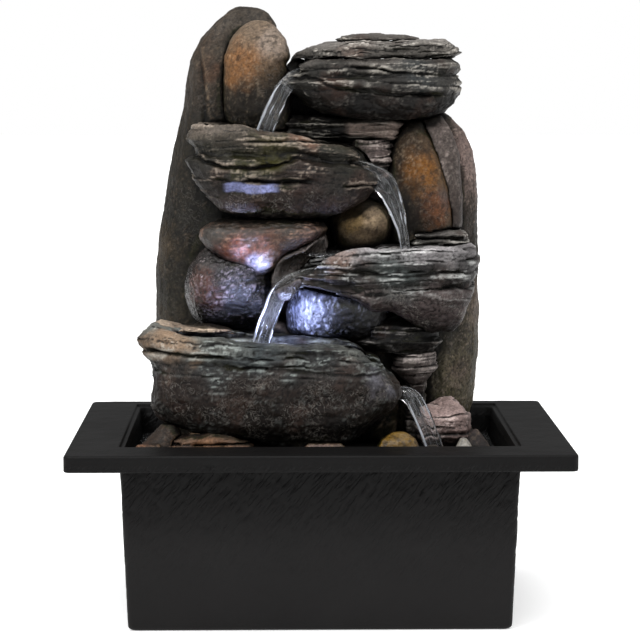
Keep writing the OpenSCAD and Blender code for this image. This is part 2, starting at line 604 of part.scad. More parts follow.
// Turns a shape drawn up the Z axis so that it runs back along the rotor's axis from y.
module along_axis(y) { translate([hose_x, y, rotor_z]) rotate([-90, 0, 0]) children(); }

module pump_case() {
    color([0.13, 0.13, 0.14])
        difference() {
            union() {
                rounded_box([case_left, case_front, case_low], [case_right, case_back, case_top], 4);
                translate([hose_x, hose_y, case_top - 1]) cylinder(r = 5.4, h = 1.8);
                translate([hose_x, hose_y, case_top - 1]) cylinder(r = spigot_r, h = 12);
            }
            along_axis(case_front - overlap) cylinder(r = chamber_r, h = chamber_d + overlap);
            along_axis(case_front - overlap) cylinder(r = plate_r + 0.02, h = plate_t + overlap);
            along_axis(case_front) cylinder(r = magnet_r + 0.6, h = case_back - case_front - 4);
            along_axis(case_front) cylinder(r = shaft_r, h = case_back - case_front - 2);
            translate([hose_x, hose_y, rotor_z]) cylinder(r = spigot_r - 1.2, h = case_top);
            for (x = [case_left + 7, case_right - 7], y = [case_front + 7, case_back - 7])
                translate([x, y, case_low - overlap]) cylinder(r = 2, h = 3 + overlap);
            translate([case_left + 7, case_back - 8, case_top - 5]) cylinder(r = 3, h = 10);
        }
}

module chamber_plate() {
    color([0.16, 0.16, 0.17])
        difference() {
            union() {
                along_axis(case_front) cylinder(r = plate_r, h = plate_t);
                along_axis(case_front - 2) cylinder(r = 3, h = 3);
            }
            along_axis(case_front - 1) cylinder(r = shaft_r, h = 5);
            for (a = [45:90:359])
                along_axis(case_front - overlap) rotate([0, 0, a])
                    translate([5.5, 0, 0]) cylinder(r = 1.7, h = 5);
        }
}

module suction_feet() {
    color([0.55, 0.56, 0.55, 0.8])
        for (x = [case_left + 7, case_right - 7], y = [case_front + 7, case_back - 7])
            translate([x, y, floor_t])
                rotate_extrude()
                    polygon([[0, 2], [4.2, 0.9], [6, 0], [6, 0.8], [2.5, 3], [2, case_low - floor_t],
                             [1.95, case_low - floor_t + 2.8], [0, case_low - floor_t + 2.8]]);
}

module cord_gland() {
    color([0.05, 0.05, 0.05])
        translate([case_left + 7, case_back - 8, case_top - 5])
            difference() {
                union() {
                    cylinder(r = 2.98, h = 6);
                    translate([0, 0, 5.02]) cylinder(r = 4, h = 5);
                }
                translate([0, 0, -overlap]) cylinder(r = 1.6, h = 14);
            }
}

module rotor_shaft() {
    color([0.92, 0.91, 0.88])
        along_axis(case_front - 1) cylinder(r = shaft_r - 0.01, h = case_back - case_front - 1.2);
}

module rotor_magnet() {
    color([0.22, 0.22, 0.23])
        along_axis(case_front + chamber_d + 1)
            difference() {
                cylinder(r = magnet_r, h = case_back - case_front - chamber_d - 6);
                translate([0, 0, -overlap]) cylinder(r = shaft_r + running, h = 60);
            }
}

module impeller() {
    blade_back = chamber_d - 1.5;
    color([0.85, 0.85, 0.82])
        difference() {
            union() {
                along_axis(case_front + plate_t + 1) cylinder(r = 3, h = chamber_d - plate_t);
                along_axis(case_front + blade_back) cylinder(r = 5, h = 1.2);
                for (i = [0:blades - 1])
                    along_axis(case_front + plate_t + 1)
                        rotate([0, 0, 360 * i / blades])
                            translate([0, -0.5, 0]) cube([chamber_r - 1.2, 1, blade_back - plate_t]);
            }
            along_axis(case_front) cylinder(r = shaft_r + running, h = 30);
        }
}

module strainer() {
    front = case_front - 13;
    color([0.12, 0.12, 0.13])
        difference() {
            rounded_box([case_left, front, case_low], [case_right, case_front - 0.1, case_top], 3);
            rounded_box([case_left + 2, front + 2, case_low + 2],
                [case_right - 2, case_front + 3, case_top - 2], 1.5);
            for (i = [0:4])
                translate([case_left + 4 + 4.2 * i, front - overlap, case_low + 4]) cube([1.8, 4, 9]);
            // the window that the regulator covers, and its two guide slots
            translate([case_right - 14, front - overlap, case_top - 13]) cube([6, 4, 6]);
        }
    // guide rails of the regulator
    color([0.12, 0.12, 0.13])
        for (z = [case_top - 16.2, case_top - 5.2])
            translate([case_left + 3, front - 2.4, z]) cube([case_right - case_left - 6, 2.5, 1.4]);
}

module flow_regulator() {
    front = case_front - 13;
    color([0.32, 0.34, 0.36])
        union() {
            translate([case_right - 15, front - 1.9, case_top - 14.6]) cube([8, 1.7, 9.2]);
            translate([case_right - 12, front - 4.4, case_top - 14.6]) cube([2, 3, 9.2]);
        }
}

basin();
rock_base();
left_column();
crown_boulder();
right_column();
ridge_boulder();
amber_boulder();
core_block();
hose_cover();
tier_1_bowl();
tier_1_cap();
tier_1_crest();
ledge_slates();
stepped_stone();
tier_2_bowl();
yellow_stone();
rust_stone();
dark_boulder();
spout_stone();
tier_3_bowl();
tier_3_back_slab();
underlit_boulder();
slate_stack();
pier_stone();
tier_4_bowl();
tier_4_back_slab();
front_flat_stone();
corner_stones();
bed_pebbles();
side_rock();
foot_stone();
riser_hose();
hose_spout();
lamp_housing();
lamp_lens();
lamp_lead();
lamp_plug();
lead_clips();
pump_case();
chamber_plate();
suction_feet();
lamp_socket();
cord_gland();
rotor_shaft();
rotor_magnet();
impeller();
strainer();
flow_regulator();
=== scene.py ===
import json
import math

import bmesh
import bpy
import numpy as np
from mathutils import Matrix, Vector
from mathutils.bvhtree import BVHTree

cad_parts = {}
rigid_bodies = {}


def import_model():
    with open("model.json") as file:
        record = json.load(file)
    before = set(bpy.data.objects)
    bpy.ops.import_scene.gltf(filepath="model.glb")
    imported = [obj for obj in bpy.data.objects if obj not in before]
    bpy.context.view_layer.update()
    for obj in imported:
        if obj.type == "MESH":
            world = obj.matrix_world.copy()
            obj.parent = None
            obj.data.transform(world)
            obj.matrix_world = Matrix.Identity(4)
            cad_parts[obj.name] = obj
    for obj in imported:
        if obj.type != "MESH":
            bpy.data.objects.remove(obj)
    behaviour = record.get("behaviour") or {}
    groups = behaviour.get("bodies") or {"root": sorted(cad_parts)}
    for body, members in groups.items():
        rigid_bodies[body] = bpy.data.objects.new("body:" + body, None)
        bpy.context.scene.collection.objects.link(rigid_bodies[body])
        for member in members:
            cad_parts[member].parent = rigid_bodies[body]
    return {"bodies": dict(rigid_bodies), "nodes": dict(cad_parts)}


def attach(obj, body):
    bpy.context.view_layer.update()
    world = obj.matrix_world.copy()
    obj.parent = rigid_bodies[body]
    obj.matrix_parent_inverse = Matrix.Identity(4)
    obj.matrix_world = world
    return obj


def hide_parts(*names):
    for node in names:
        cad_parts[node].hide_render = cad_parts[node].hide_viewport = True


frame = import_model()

MM = 0.001
WATER_INDEX = 1.33
FINE_GRAIN = 0.0002                   # height of a fine surface grain, in metres
CHISEL_SLANT = math.radians(52)       # of the strokes on the basin's walls
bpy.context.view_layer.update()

# ---- camera, light and floor

def add_object(name, data):
    obj = bpy.data.objects.new(name, data)
    bpy.context.scene.collection.objects.link(obj)
    return obj


def look_from(place_mm, down_deg, right_deg, lens_mm):
    """The camera stands in front of the fountain, a little left of it and above it."""
    data = bpy.data.cameras.new("camera")
    data.lens = lens_mm
    data.sensor_width = 36
    data.clip_start = 0.05
    camera = add_object("camera", data)
    camera.location = Vector(place_mm) * MM
    camera.rotation_euler = (math.radians(90 - down_deg), 0, math.radians(-right_deg))
    bpy.context.scene.camera = camera


look_from((-16.0, -996.3, 240.1), 6.54, 0.957, 129.4)


def add_light(kind, name, place, target, watts, colour=(1, 1, 1), **settings):
    data = bpy.data.lights.new(name, kind)
    data.energy = watts
    data.color = colour
    for key, value in settings.items():
        setattr(data, key, value)
    light = add_object(name, data)
    light.location = place
    light.rotation_euler = (Vector(target) - Vector(place)).to_track_quat("-Z", "Y").to_euler()
    light.visible_camera = False
    return light


class Nodes:
    """The node tree of a material or world. An input given as a socket is linked, and any other is set."""

    def __init__(self, owner):
        owner.use_nodes = True
        self.owner = owner
        self.tree = owner.node_tree

    def fill(self, node, inputs):
        for name, value in inputs.items():
            if isinstance(value, bpy.types.NodeSocket):
                self.tree.links.new(value, node.inputs[name])
            else:
                node.inputs[name].default_value = value

    def add(self, kind, output, inputs=(), **settings):
        """Adds a node and gives back one of its outputs."""
        node = self.tree.nodes.new("ShaderNode" + kind)
        for name, value in settings.items():
            setattr(node, name, value)
        self.fill(node, dict(inputs))
        return node.outputs[output]

    def noise(self, scale, detail, place, **inputs):
        return self.add("TexNoise", "Fac", {"Scale": scale, "Detail": detail, "Vector": place, **inputs})

    def ranged(self, value, low=0, high=1, first=0, last=1):
        """Carries a value from the range low to high over to the range first to last."""
        return self.add("MapRange", "Result", {"Value": value, "From Min": low, "From Max": high,
                                               "To Min": first, "To Max": last})

    def mixed(self, share, a, b):
        return self.add("Mix", "Result", {"Factor": share, "A": a, "B": b}, data_type="RGBA")

    def scaled(self, colour, amount):
        return self.add("VectorMath", "Vector", {0: colour, "Scale": amount}, operation="SCALE")

    def maths(self, operation, a, b=0.5):
        return self.add("Math", "Value", {0: a, 1: b}, operation=operation)

    def bump(self, height, strength, distance, **inputs):
        return self.add("Bump", "Normal", {"Height": height, "Strength": strength, "Distance": distance,
                                           **inputs})


def new_material(name):
    """The nodes of a new material, its surface node and the object's own coordinates."""
    nodes = Nodes(bpy.data.materials.new(name))
    return nodes, nodes.tree.nodes["Principled BSDF"], nodes.add("TexCoord", "Object")


def surround():
    """A white backdrop, which lights the object less from the sides and below than from above."""
    world = bpy.data.worlds.new("surround")
    bpy.context.scene.world = world
    nodes = Nodes(world)
    seen = nodes.tree.nodes["Background"]
    nodes.fill(seen, {"Color": (1, 1, 1, 1), "Strength": 1.0})
    height = nodes.add("SeparateXYZ", "Z", {"Vector": nodes.add("TexCoord", "Generated")})
    lights = nodes.add("Background", "Background", {"Strength": nodes.ranged(height, -0.1, 0.9, 0.22, 0.7)})
    for_camera = nodes.add("LightPath", "Is Camera Ray")
    mixed = nodes.add("MixShader", "Shader", {"Fac": for_camera, 1: lights, 2: seen.outputs["Background"]})
    nodes.fill(nodes.tree.nodes["World Output"], {"Surface": mixed})


def studio():
    scene = bpy.context.scene
    scene.view_settings.view_transform = "Standard"
    scene.view_settings.look = "None"
    surround()
    middle = (0, 0, 0.13)
    add_light("SUN", "overhead", (-0.15, -0.42, 1.0), middle, 3.0, angle=math.radians(80))
    add_light("AREA", "key", (-0.5, -0.6, 0.7), middle, 2.5, shape="DISK", size=0.25)
    add_light("AREA", "side", (0.7, -0.1, 0.55), middle, 1.5, shape="DISK", size=0.25)
    mesh = bpy.data.meshes.new("floor")
    edge = 6
    mesh.from_pydata([(-edge, -edge, 0), (edge, -edge, 0), (edge, edge, 0), (-edge, edge, 0)], [],
                     [(0, 1, 2, 3)])
    floor = add_object("floor", mesh)
    nodes, surface, _ = new_material("floor_paint")
    nodes.fill(surface, {"Base Color": (0.93, 0.93, 0.93, 1), "Roughness": 0.9, "Specular IOR Level": 0.1,
                         "Emission Color": (1, 1, 1, 1), "Emission Strength": 0.3})
    mesh.materials.append(nodes.owner)


studio()

# ---- noise and colour

def srgb(code):
    """A colour written as six hexadecimal digits, as linear red, green and blue."""
    parts = np.array([int(code[i:i + 2], 16) / 255 for i in (0, 2, 4)])
    return np.where(parts <= 0.04045, parts / 12.92, ((parts + 0.055) / 1.055) ** 2.4)


CORNERS = [np.array([x, y, z]) for x in (0, 1) for y in (0, 1) for z in (0, 1)]   # of a cell


def noise(points, size, seed):
    """Smooth noise, about -1 to 1, at (n, 3) points, with lumps about size across."""
    draw = np.random.default_rng(seed)
    slopes = draw.normal(size=(256, 3))
    slopes /= np.linalg.norm(slopes, axis=1)[:, None]
    shuffle = np.tile(draw.permutation(256), 2)
    place = points / size
    cell = np.floor(place).astype(int)
    part = place - cell
    fade = part ** 3 * (part * (part * 6 - 15) + 10)
    total = np.zeros(len(points))
    for step in CORNERS:
        corner = (cell + step) & 255
        pick = shuffle[shuffle[shuffle[corner[:, 0]] + corner[:, 1]] + corner[:, 2]]
        weight = np.prod(np.where(step == 1, fade, 1 - fade), axis=1)
        total += weight * np.sum(slopes[pick] * (part - step), axis=1)
    return total * 1.7


def rough_noise(points, size, seed, octaves=3):
    return sum(noise(points, size / 2 ** i, seed + i) / 2 ** i for i in range(octaves))


def creases(points, size, seed):
    """0 along a net of fine winding lines about size apart, rising to 1 between them."""
    return np.minimum(np.abs(noise(points, size, seed)) * 3.2, 1)


def ease(low, high, value):
    t = np.clip((value - low) / (high - low), 0, 1)
    return t * t * (3 - 2 * t)


def blend(a, b, share):
    """Colours a and b mixed by share, which has one value for each point."""
    share = np.clip(share, 0, 1)[:, None]
    return a * (1 - share) + b * share


def graded(codes, share):
    """The colours of a ramp with evenly spaced codes, from share 0 to share 1."""
    stops = np.array([srgb(code) for code in codes])
    at = np.clip(share, 0, 1) * (len(codes) - 1)
    return np.column_stack([np.interp(at, np.arange(len(codes)), stops[:, i]) for i in range(3)])


# ---- meshes

def new_object(name, mesh, body, *stands_for):
    obj = add_object(name, mesh)
    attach(obj, body)
    if stands_for:
        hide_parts(*stands_for)
    return obj


def evaluated_mesh(obj):
    graph = bpy.context.evaluated_depsgraph_get()
    return bpy.data.meshes.new_from_object(obj.evaluated_get(graph))


def remeshed(node, voxel, rounds):
    """A dense, evenly meshed copy of a CAD node, with its facets smoothed away over so many rounds."""
    source = add_object("source", frame["nodes"][node].data.copy())
    grid = source.modifiers.new("grid", "REMESH")
    grid.mode = "VOXEL"
    grid.voxel_size = voxel * MM
    soften = source.modifiers.new("soften", "SMOOTH")
    soften.factor = 0.5
    soften.iterations = rounds
    mesh = evaluated_mesh(source)
    bpy.data.objects.remove(source)
    mesh.name = node
    mesh.materials.clear()
    return mesh


def triples(items, field):
    flat = np.zeros(len(items) * 3)
    items.foreach_get(field, flat)
    return flat.reshape(-1, 3)


def positions(mesh):
    return triples(mesh.vertices, "co") / MM


def normals(mesh):
    return triples(mesh.vertex_normals, "vector")


def set_positions(mesh, points):
    mesh.vertices.foreach_set("co", (points * MM).ravel())
    mesh.update()


def relief(mesh, rounds):
    """How far each point stands out of the surface as it would be after so many rounds of smoothing."""
    ends = np.zeros(len(mesh.edges) * 2, dtype=np.int32)
    mesh.edges.foreach_get("vertices", ends)
    a, b = ends[0::2], ends[1::2]
    count = len(mesh.vertices)
    joined = np.bincount(ends, minlength=count)
    points = positions(mesh)
    eased = points.copy()
    for _ in range(rounds):
        total = [np.bincount(a, eased[b, i], count) + np.bincount(b, eased[a, i], count) for i in range(3)]
        eased = np.column_stack(total) / joined[:, None]
    return np.sum((points - eased) * normals(mesh), axis=1)


def smooth_shading(mesh):
    mesh.polygons.foreach_set("use_smooth", np.ones(len(mesh.polygons), bool))


def store_colour(mesh, name, colours):
    layer = mesh.color_attributes.new(name, "FLOAT_COLOR", "POINT")
    layer.data.foreach_set("color", np.column_stack([colours, np.ones(len(colours))]).ravel())


def store_value(mesh, name, values):
    layer = mesh.attributes.new(name, "FLOAT", "POINT")
    layer.data.foreach_set("value", values)


def closed_tube(rings):
    """Points and faces of a tube through rings that have equal numbers of points, closed at both ends."""
    count, around = len(rings), len(rings[0])
    faces = []
    for i in range(count - 1):
        for k in range(around):
            n = (k + 1) % around
            faces.append((i * around + k, i * around + n, (i + 1) * around + n, (i + 1) * around + k))
    faces += [tuple(reversed(range(around))), tuple(range((count - 1) * around, count * around))]
    return np.vstack(rings), faces


def mesh_of(name, points, faces):
    mesh = bpy.data.meshes.new(name)
    mesh.from_pydata([tuple(p) for p in points * MM], [], faces)
    return mesh


def solid_mesh(name, points, faces):
    """A smooth mesh of the points and faces, whose faces all look outwards."""
    mesh = mesh_of(name, points, faces)
    tidy = bmesh.new()
    tidy.from_mesh(mesh)
    bmesh.ops.recalc_face_normals(tidy, faces=tidy.faces)
    tidy.to_mesh(mesh)
    tidy.free()
    smooth_shading(mesh)
    return mesh


# ---- gaps between the stones, where shade is painted in

CELL = 2.0                            # grid spacing in mm
GRID_LOW = np.array([-94.0, -66.0, -6.0])
GRID_COUNT = (94, 70, 142)


def rock_grid():
    """A grid that is 1 inside the rockwork and 0 outside it, found by rays that run up through the stones."""
    corners, faces = [], []
    for part in frame["nodes"].values():
        if part.parent == frame["bodies"]["rockwork"]:
            start = len(corners)
            corners += [v.co.copy() for v in part.data.vertices]
            faces += [[start + v for v in face.vertices] for face in part.data.polygons]
    rock = BVHTree.FromPolygons(corners, faces)
    grid = np.zeros(GRID_COUNT)
    up = Vector((0, 0, 1))
    for i in range(GRID_COUNT[0]):
        for k in range(GRID_COUNT[1]):
            x, y = GRID_LOW[:2] + CELL * np.array([i, k])
            start = Vector((x, y, -10)) * MM
            bottom = None
            while True:
                hit, facing, _, _ = rock.ray_cast(start, up, 0.4)
                if hit is None:
                    break
                level = int(round((hit.z / MM - GRID_LOW[2]) / CELL))
                if facing.z < 0:
                    bottom = level if bottom is None else bottom
                elif bottom is not None:
                    grid[i, k, bottom:level] = 1
                    bottom = None
                start = hit + up * 0.01 * MM
    return grid


def blurred(grid, spread):
    for axis, count in enumerate(grid.shape):
        fade = np.exp(-2 * (math.pi * np.fft.rfftfreq(count) * spread / CELL) ** 2)
        shape = [1, 1, 1]
        shape[axis] = -1
        waves = np.fft.rfft(grid, axis=axis) * fade.reshape(shape)
        grid = np.fft.irfft(waves, n=count, axis=axis)
    return grid


def grid_value(grid, points):
    place = np.clip((points - GRID_LOW) / CELL, 0, np.array(GRID_COUNT) - 1.001)
    cell = place.astype(int)
    part = place - cell
    total = np.zeros(len(points))
    for step in CORNERS:
        weight = np.prod(np.where(step, part, 1 - part), axis=1)
        total += weight * grid[tuple((cell + step).T)]
    return total


ROCK = rock_grid()
NEAR_ROCK = blurred(ROCK, 3.5)
FAR_ROCK = blurred(ROCK, 8)


def shut_in(points, normal):
    """How closely other rock stands over the surface: 0 in the open and 1 in a deep gap. It sets the painted
    shade between the stones and where moss and wear go.
    """
    near = ease(0.18, 0.52, grid_value(NEAR_ROCK, points + 4 * normal))
    far = ease(0.17, 0.52, grid_value(FAR_ROCK, points + 10 * normal))
    return np.clip(0.75 * near + 0.6 * far, 0, 1)


# ---- stone

def stone_material(name, shine):
    """Painted resin stone: its vertex paint, which also carries painted shade and painted lamp light, broken
    up by fine speckle, with a damp sheen that varies.
    """
    nodes, surface, place = new_material(name)

    def stored(attribute, output="Fac"):
        return nodes.add("Attribute", output, attribute_name=attribute)

    speckle = nodes.ranged(nodes.noise(900, 5, place, Roughness=0.65), 0.3, 0.7, 0.5, 1.55)
    tint = nodes.scaled(stored("paint", "Color"), speckle)
    # hair-fine pale scratches where the stone has been rubbed
    winding = nodes.noise(300, 2, place, Roughness=0.6, Distortion=1.4)
    line = nodes.ranged(nodes.maths("ABSOLUTE", nodes.maths("SUBTRACT", winding)), 0.004, 0.03, 1, 0)
    shown = nodes.maths("MULTIPLY", line, stored("rubbed"))
    # dry stone is dull and damp stone is glossy
    nodes.fill(surface, {
        "Base Color": nodes.mixed(shown, tint, (0.15, 0.138, 0.122, 1)),
        "Roughness": nodes.ranged(stored("damp"), 0, 1, 0.66, 0.14),
        "Normal": nodes.bump(nodes.noise(1500, 4, place, Roughness=0.7), 0.7, 0.0004),
        "Specular IOR Level": shine})
    return nodes.owner


STONE = stone_material("stone", 0.16)
WET_STONE = stone_material("wet_stone", 0.36)
MOSS = srgb("2c2c14")
IRON_STAIN = srgb("4a352b")
PAINT_STRENGTH = 0.55      # the paint's reflectance beside the colour that it shows in the studio's light


def strata(points, seed, thin, thick, slope):
    """For each point, its layer's number and how far up that layer it lies, from 0 to 1."""
    draw = np.random.default_rng(seed)
    level = points[:, 2] - slope * points[:, 0]
    level = level + 2.2 * noise(points, 34, seed + 1) + 0.9 * noise(points, 12, seed + 2)
    edges = np.cumsum(draw.uniform(thin, thick, 400)) + level.min() - 5
    layer = np.searchsorted(edges, level)
    low = edges[layer - 1]
    return layer, (level - low) / (edges[layer] - low)


def by_line(points, normal, places, wander, size, seed, before, after):
    """How far each point lies above a wavering line, and 1 where that line runs on the front."""
    xs, zs = np.array(places, float).T
    x = points[:, 0]
    gap = points[:, 2] - np.interp(x, xs, zs) + wander * rough_noise(points, size, seed)
    ends = ease(xs[0] - before, xs[0] + 3, x) * ease(xs[-1] + before, xs[-1] - after, x)
    return gap, ease(0.3, -0.2, normal[:, 1]) * ends


def cleft(points, normal, line, seed):
    """Moves for a deep dark split along a line in a stone's front, under a proud lip."""
    places, deep = line
    gap, front = by_line(points, normal, places, 0.7, 7, seed + 50, 2, 5)
    lip = 0.35 * deep * ease(4.5, 1.5, gap) * ease(0.2, 1.2, gap)
    push = lip - deep * np.exp(-(gap / 0.9) ** 2)
    return np.column_stack([0 * push, -push * front, 0 * push])


def blocks(points, size, seed):
    """One random value from -1 to 1 for each irregular block about size across."""
    warp = noise(points, 1.3 * size, seed)[:, None] * [0.6, -0.5, 0.0] * size
    cell = np.floor((points + warp) / size).astype(int) & 31
    table = np.random.default_rng(seed).uniform(-1, 1, (32, 32, 32))
    return table[cell[:, 0], cell[:, 1], cell[:, 2]]


def slate_shape(points, normal, seed, slope, layered, thick, cuts):
    """Broken slate: thick layers that overhang each other, split into thin leaves, over a wrinkled belly."""
    draw = np.random.default_rng(seed + 9)
    slab, rise = strata(points, seed, thick[0], thick[1], slope)
    leaf, part = strata(points, seed + 40, 1.1, 3.2, slope)
    ring = np.column_stack([points[:, 0], points[:, 1], slab * 19.7])
    leaf_ring = np.column_stack([points[:, 0], points[:, 1], leaf * 13.1])
    chip = noise(ring, 8, seed + 4) * 2.6
    chip = (np.floor(chip) + ease(0.8, 1, chip % 1)) / 2.6
    step = 0.6 * draw.uniform(-1, 1, 500)[slab] + 0.9 * noise(ring, 26, seed + 3) + 0.6 * chip
    step += 0.35 * blocks(ring, 15, seed + 17)
    step -= 0.85 * (1 - rise) ** 2
    split = ease(-0.05, 0.3, noise(ring, 13, seed + 8))
    step -= 2.1 * split * ease(0.24, 0, rise)
    leaves = 0.3 * draw.uniform(-1, 1, 900)[leaf] + 0.55 * noise(leaf_ring, 8, seed + 5)
    leaves += 0.12 * blocks(leaf_ring, 8, seed + 18)
    leaves -= 0.45 * ease(0.3, 0, part)
    leaves *= ease(-0.35, 0.35, noise(points, 15, seed + 6))
    fibre = creases(points * [0.35, 0.35, 1], 1.7, seed + 10) - 1
    wrinkle = creases(points, 2.6, seed + 12) - 1
    lump = rough_noise(points, 17, seed + 14)
    depth = layered * (step + leaves + 0.3 * fibre) + (1 - layered) * (0.38 * wrinkle + 0.8 * lump)
    depth += 0.28 * rough_noise(points * [0.8, 0.8, 1], 3.4, seed + 15)
    outward = normal.copy()
    outward[:, 2] *= 1 - layered
    moved = points + outward * depth[:, None]
    for line in cuts:
        moved += cleft(points, normal, line, seed)
    # broken flakes on the level faces
    flat = ease(0.5, 0.9, np.abs(normal[:, 2])) * layered
    flake = rough_noise(points * [1, 1, 0], 13, seed + 16) * 3
    terrace = (np.floor(flake) + ease(0.8, 1, flake % 1)) / 3
    moved[:, 2] += flat * 0.9 * terrace * np.sign(normal[:, 2])
    return moved


def band(points, normal, places, half, seed):
    """1 along a line of (x, z) places on a stone's front, falling to 0 at about half mm from it."""
    gap, front = by_line(points, normal, places, 0.6, 6, seed, 1, 3)
    return ease(half, 0.6 * half, np.abs(gap)) * front


def paint_spots(colours, points, low, high, spots):
    """Adds soft-edged patches: (share of x, y and z across the stone, radius in mm, colour, strength)."""
    for x, y, z, radius, code, strength in spots:
        middle = low + np.array([x, y, z]) * (high - low)
        gap = np.linalg.norm(points - middle, axis=1)
        gap = gap + 0.35 * radius * rough_noise(points, 0.6 * radius, 91, 4)
        colours = blend(colours, srgb(code), strength * ease(1.15 * radius, 0.35 * radius, gap))
    return colours


def wash_brush_and_shade(mesh, colours, hollow_and_shade, worn, brush, seed):
    """Runs a dark wash into the hollows, paints shade into the gaps between the stones with moss at their
    rims, and drags a pale dry brush over the raised edges.
    """
    points = positions(mesh)
    fine, broad = relief(mesh, 3), relief(mesh, 16)
    colours = blend(colours, srgb(hollow_and_shade), 0.9 * ease(-0.02, -0.24, fine))
    colours = blend(colours, srgb(hollow_and_shade), 0.8 * ease(-0.15, -0.9, broad))
    gap = shut_in(points, normals(mesh))
    moss = ease(-0.1, 0.6, rough_noise(points, 16, seed + 31))
    colours = blend(colours, MOSS, moss * ease(0, 0.3, gap) * ease(0.9, 0.4, gap))
    # painted shade: the gaps between the stones are darkened towards the dark colour
    colours = blend(colours, srgb(hollow_and_shade), 0.93 * gap)
    streak = rough_noise(points * [0.7, 0.7, 1], 7, seed + 30)
    touch = ease(0.05, 0.24, fine) * ease(-0.25, 0.4, streak)
    touch = np.maximum(touch, 0.55 * ease(0.25, 0.9, broad) * ease(-0.4, 0.6, streak))
    touch = brush * touch * (1 - 0.8 * gap)
    return blend(colours, 0.8 * srgb(worn) + 0.9 * colours, np.clip(touch, 0, 1))


def finish_stone(node, mesh, colours, damp, rubbed, wet=False):
    store_colour(mesh, "paint", np.clip(PAINT_STRENGTH * colours, 0.0006, 0.9))
    store_value(mesh, "damp", np.clip(damp, 0, 1))
    store_value(mesh, "rubbed", np.clip(rubbed, 0, 1))
    smooth_shading(mesh)
    mesh.materials.append(WET_STONE if wet else STONE)
    obj = new_object(node + "_stone", mesh, "rockwork", node)


def height_share(points, low, high, seed):
    """How high each point lies on its stone, from 0 to 1, wavered by noise."""
    return (points[:, 2] - low[2]) / (high[2] - low[2]) + 0.1 * rough_noise(points, 18, seed)


def pulled(line, full, none, forward=0.0):
    """Moves parts of a stone up or down by (x, amount) pairs: in full at the level full, fading to none."""
    xs, amounts = np.array(line, float).T

    def move(points):
        rise = ease(none, full, points[:, 2]) * np.interp(points[:, 0], xs, amounts)
        return np.column_stack([0 * rise, -forward * np.abs(rise), rise])
    return move


def pier_widened(points):
    """Spreads the pier's left side towards the fourth bowl."""
    right = points[:, 0].max()
    return np.column_stack([-0.32 * (right - points[:, 0]), 0 * points[:, 0], 0 * points[:, 0]])


def rough_stone(node, voxel, rounds, reshape):
    mesh = remeshed(node, voxel, rounds)
    if reshape:
        set_positions(mesh, positions(mesh) + reshape(positions(mesh)))
    points = positions(mesh)
    return mesh, points, normals(mesh), points.min(0), points.max(0)


def slate(node, seed, coat_with_shading, worn="b9b3a8", hollow_and_shade="080706", slope=0.0, belly=0.0, thick=(3, 7), brush=1.0,
          spots=(), damp=0.35, voxel=0.62, cuts=(), bands=(), scratch=1.0, reshape=None):
    """A layered stone. The colours given run from bottom to top, dark low down and pale on top, partly as
    painted shade and painted light. Below the height share belly it is smooth.
    """
    mesh, points, normal, low, high = rough_stone(node, voxel, 3, reshape)
    share = height_share(points, low, high, seed + 60)
    layered = ease(belly - 0.16, belly + 0.06, share) if belly else np.ones(len(points))
    set_positions(mesh, slate_shape(points, normal, seed, slope, layered, thick, cuts))
    patch = rough_noise(points * [0.6, 0.6, 1.4], 12, seed + 21, 4)
    # colours by height, dark low down and pale on top: partly the stone's paint, partly painted shade and
    # painted light
    colours = graded(coat_with_shading, share + 0.12 * patch) * (1 + 0.35 * patch)[:, None]
    colours = blend(colours, IRON_STAIN, 0.45 * ease(0.15, 0.7, rough_noise(points, 15, seed + 22)))
    colours = paint_spots(colours, points, low, high, spots)
    colours = wash_brush_and_shade(mesh, colours, hollow_and_shade, worn, brush * (0.35 + 0.65 * layered), seed)
    # painted shade: faces that look downward are darkened
    colours = blend(colours, srgb(hollow_and_shade), 0.45 * ease(0.1, -0.9, normal[:, 2]))
    for places, half, code in bands:
        mottle = 0.75 + 0.3 * rough_noise(points * [0.5, 1, 1], 3, seed + 41)
        colours = blend(colours, srgb(code), mottle * band(points, normal, places, half, seed + 42))
    worn_patch = ease(-0.5, 0.5, rough_noise(points, 11, seed + 51)) * (1 - shut_in(points, normal))
    rubbed = scratch * (0.15 + 0.5 * (1 - layered)) * worn_patch
    finish_stone(node, mesh, colours, damp + 0.25 * patch, rubbed)


